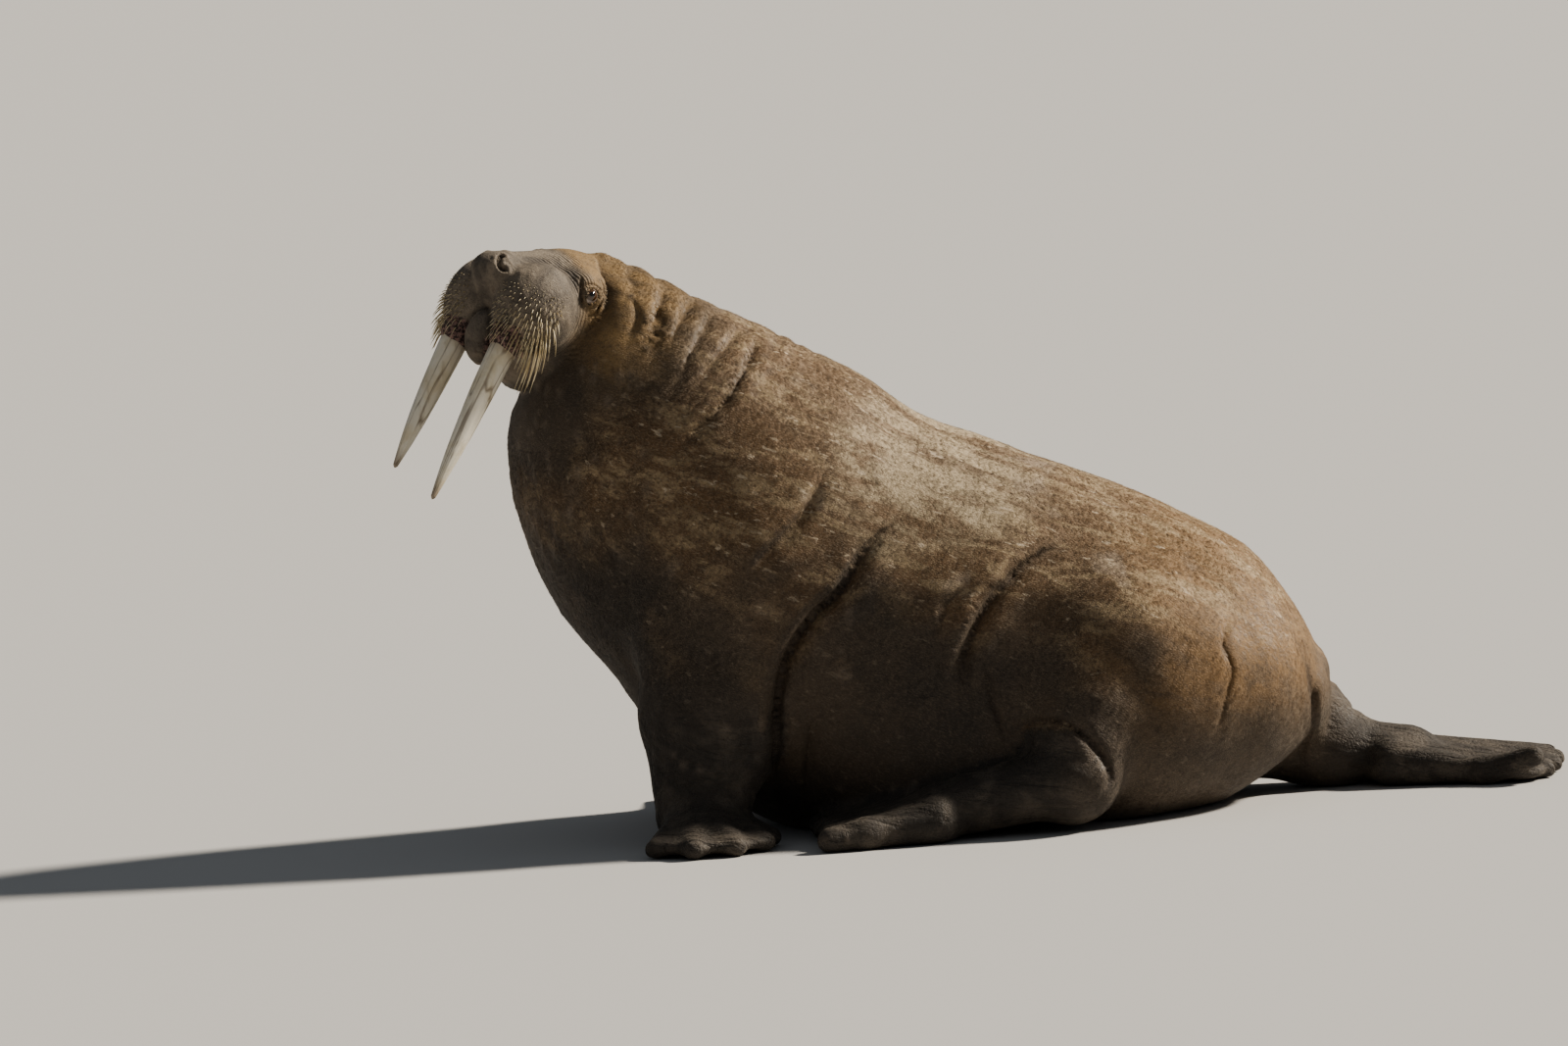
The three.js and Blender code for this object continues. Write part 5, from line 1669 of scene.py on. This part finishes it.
def tusk_shape(side):
    """Points and triangles, and at each point the share along the tusk and how cracked it is."""
    length = TUSK_LENGTHS[side]
    down = np.array([math.sin(TUSK_FORWARD), 0, -math.cos(TUSK_FORWARD)])
    share = np.linspace(0, 1, TUSK_RINGS)
    share = 1 - (1 - share) ** 1.15
    reach = mix(-TUSK_ROOT, length, share)
    t = reach / length
    taper = np.interp(share * (len(TUSK_TAPER) - 1), np.arange(len(TUSK_TAPER)), TUSK_TAPER)
    rounding = np.sqrt(np.clip((1 - share) / TUSK_TIP, 0.0, 1))
    taper = taper * np.where(share > 1 - TUSK_TIP, rounding * 0.85 + 0.02, 1)
    lip = TUSK_LIP * [1, side, 1]
    bow = np.array([1, 0, 0]) * (TUSK_BOW * 4 * t * (1 - t))[:, None]
    centres = from_head(lip + down * reach[:, None] + bow)
    along = unit(np.gradient(centres, axis=0))
    wide = unit(HEAD_AXES[0] - along * (along @ HEAD_AXES[0])[:, None])
    high = np.cross(along, wide)
    angle = 2 * math.pi * np.arange(TUSK_SIDES) / TUSK_SIDES
    spin = np.stack([np.cos(angle), np.sin(angle), np.zeros(TUSK_SIDES)], axis=1)
    grid = np.repeat(spin[None] * GRAIN_RADIUS, TUSK_RINGS, axis=0).reshape(-1, 3)
    grid[:, 2] = np.repeat(reach * GRAIN_STRETCH + GRAIN_APART * (side > 0), TUSK_SIDES)
    groove = sum(noise(grid, size, seed) * high_by for size, seed, high_by in TUSK_GROOVES)
    crack = np.clip(np.abs(noise(grid, CRACK_SIZE, 43)) * CRACK_SHARPNESS, 0, 1)
    raised = (groove + (crack - 1) * CRACK_DEPTH).reshape(TUSK_RINGS, TUSK_SIDES)
    raised *= step(0.0, 0.1, 1 - share)[:, None] * RELIEF_SHARE
    width = (TUSK_WIDTH * taper)[:, None] + raised - TUSK_INSET
    height = (TUSK_WIDTH * TUSK_FLATNESS * taper)[:, None] + raised - TUSK_INSET
    width, height = np.maximum(width, 0.3), np.maximum(height, 0.3)
    ring = wide[:, None] * (np.cos(angle) * width)[..., None]
    ring = ring + high[:, None] * (np.sin(angle) * height)[..., None]
    points = (centres[:, None] + ring).reshape(-1, 3)
    index = np.arange(TUSK_RINGS * TUSK_SIDES).reshape(TUSK_RINGS, TUSK_SIDES)
    faces = between_rings(index)
    root, tip = (np.full(TUSK_SIDES, len(points) + k) for k in range(2))
    points = np.concatenate([points, centres[[0, -1]]])
    faces.append(np.stack([root, np.roll(index[0], -1), index[0]], 1))
    faces.append(np.stack([tip, index[-1], np.roll(index[-1], -1)], 1))
    along_share = np.append(np.repeat(share, TUSK_SIDES), [0, 1])
    return points, np.concatenate(faces), along_share, np.append(1 - crack, [0, 0])


def ivory_material():
    n = Nodes("ivory")
    place = n.place()
    marks = n.marks("marks")
    share, deep = marks[0], marks[1]
    streak = n.noise(n.stretched(place, (1, 1, 0.12)), 60.0, 4, 0.6)
    stain = n.noise(place, 9.0, 4, 0.6, 0.5)
    colour = n.mix(n.between(stain, 0.42, 0.68), IVORY, IVORY_STAIN)
    colour = n.mix(n.between(streak, 0.56, 0.70, 0, 0.36), colour, IVORY_STREAK)
    colour = n.mix(n.between(share, 0.86, 1.0, 0, 0.75), colour, IVORY_TIP)
    colour = n.mix(n.between(share, 0.2, 0.1, 0, 0.5), colour, IVORY_ROOT)
    colour = n.mix(n.math("MULTIPLY", deep, 0.75), colour, IVORY_CRACK)
    normal = n.bump(streak, 0.0014, 0.5)
    normal = n.bump(n.noise(place, 220.0, 3), 0.0005, 0.4, normal)
    n.set(
        Base_Color=colour,
        Roughness=n.between(stain, 0.3, 0.7, 0.3, 0.5),
        Normal=normal,
        Specular_IOR_Level=0.5,
        Coat_Weight=0.15,
        Coat_Roughness=0.3,
    )
    return n.material


ivory_look = ivory_material()
for side, side_name in SIDES:
    points, faces, share, deep = tusk_shape(side)
    item = make_mesh(f"ivory_{side_name}", points, faces, ivory_look)
    add_marks(item, "marks", share, deep, share * 0)
    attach(item, "root")
    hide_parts(f"tusk_{side_name}")


# Eyes: a ball with a raised cornea, coloured from its middle outwards
EYE_RINGS, EYE_SIDES = 40, 56
EYE_GAZE = np.array([0.26, 0, 0.08])
CORNEA_HEIGHT, CORNEA_EDGE = 0.055, 0.62
PUPIL_EDGE, IRIS_EDGE = (0.085, 0.095), (0.205, 0.225)  # shares of the half turn to the back


def eye_shape(side):
    """Points and triangles, and each point's share of the way from the middle to the back."""
    outward = unit(EYE_OUTWARD * [1, side, 1] + EYE_GAZE)
    along = unit(np.cross([0, 0, 1], outward))
    over = np.cross(outward, along)
    turn = math.pi * (np.arange(EYE_RINGS + 1) / EYE_RINGS) ** 1.3
    cornea = 1 + CORNEA_HEIGHT * step(CORNEA_EDGE, 0.0, turn)
    angle = 2 * math.pi * np.arange(EYE_SIDES) / EYE_SIDES
    flat = EYE_RADIUS * cornea[:, None] * np.sin(turn)[:, None]
    deep = EYE_RADIUS * cornea * np.cos(turn)
    q = (
        (flat * np.cos(angle))[..., None] * along
        + (flat * np.sin(angle))[..., None] * over
        + deep[:, None, None] * outward
    )
    points = from_head((q + EYE * [1, side, 1]).reshape(-1, 3))
    index = np.arange((EYE_RINGS + 1) * EYE_SIDES).reshape(EYE_RINGS + 1, EYE_SIDES)
    index[0], index[-1] = index[0, 0], index[-1, 0]
    faces = np.concatenate(between_rings(index))[:, ::-1]
    a, b, c = faces.T
    used, faces = np.unique(faces[(a != b) & (b != c) & (a != c)], return_inverse=True)
    share = np.repeat(turn / math.pi, EYE_SIDES)
    return points[used], faces.reshape(-1, 3), share[used]


def eye_material():
    n = Nodes("eye")
    place = n.place()
    share = n.marks("marks")[0]
    streak = n.noise(place, 300.0, 2)
    iris = n.mix(n.between(streak, 0.35, 0.65), IRIS_DARK, IRIS_BROWN)
    colour = n.mix(n.between(share, *PUPIL_EDGE), PUPIL_BLACK, iris)
    colour = n.mix(n.between(share, *IRIS_EDGE), colour, EYE_WHITE)
    n.set(
        Base_Color=colour,
        Roughness=0.06,
        Specular_IOR_Level=0.6,
        Coat_Weight=1.0,
        Coat_Roughness=0.02,
    )
    return n.material


eye_look = eye_material()
for side, side_name in SIDES:
    points, faces, share = eye_shape(side)
    item = make_mesh(f"eyeball_{side_name}", points, faces, eye_look)
    add_marks(item, "marks", share, share * 0, share * 0)
    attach(item, "root")
    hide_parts(f"eye_{side_name}")


# Studio: a large pale floor, a soft key light from the right and behind, and a pale room
FLOOR_HALF = 60.0
KEY_FROM, KEY_STRENGTH, KEY_COLOUR, KEY_WIDTH = (0.77, 0.24, 0.59), 5.8, (1.0, 0.92, 0.80), 6
ROOM_COLOUR, ROOM_STRENGTH = (0.80, 0.86, 0.93, 1), 0.19


def make_floor():
    mesh = bpy.data.meshes.new("floor")
    corners = [(x * FLOOR_HALF, y * FLOOR_HALF, 0) for x, y in ((-1, -1), (1, -1), (1, 1), (-1, 1))]
    mesh.from_pydata(corners, [], [(0, 1, 2, 3)])
    n = Nodes("floor")
    n.set(Base_Color=FLOOR_PALE, Roughness=0.85)
    mesh.materials.append(n.material)
    floor = bpy.data.objects.new("floor", mesh)
    bpy.context.collection.objects.link(floor)


def make_sun(name, from_way, strength, colour, angle):
    data = bpy.data.lights.new(name, "SUN")
    data.energy, data.color, data.angle = strength, colour, math.radians(angle)
    light = bpy.data.objects.new(name, data)
    light.rotation_mode = "QUATERNION"
    light.rotation_quaternion = (-Vector(from_way)).to_track_quat("-Z", "Y")
    bpy.context.collection.objects.link(light)


def make_world():
    world = bpy.data.worlds.new("room")
    world.use_nodes = True
    background = world.node_tree.nodes["Background"]
    background.inputs["Color"].default_value = ROOM_COLOUR
    background.inputs["Strength"].default_value = ROOM_STRENGTH
    bpy.context.scene.world = world
    bpy.context.scene.view_settings.look = "AgX - Medium High Contrast"


make_floor()
make_sun("key", KEY_FROM, KEY_STRENGTH, KEY_COLOUR, KEY_WIDTH)
make_world()
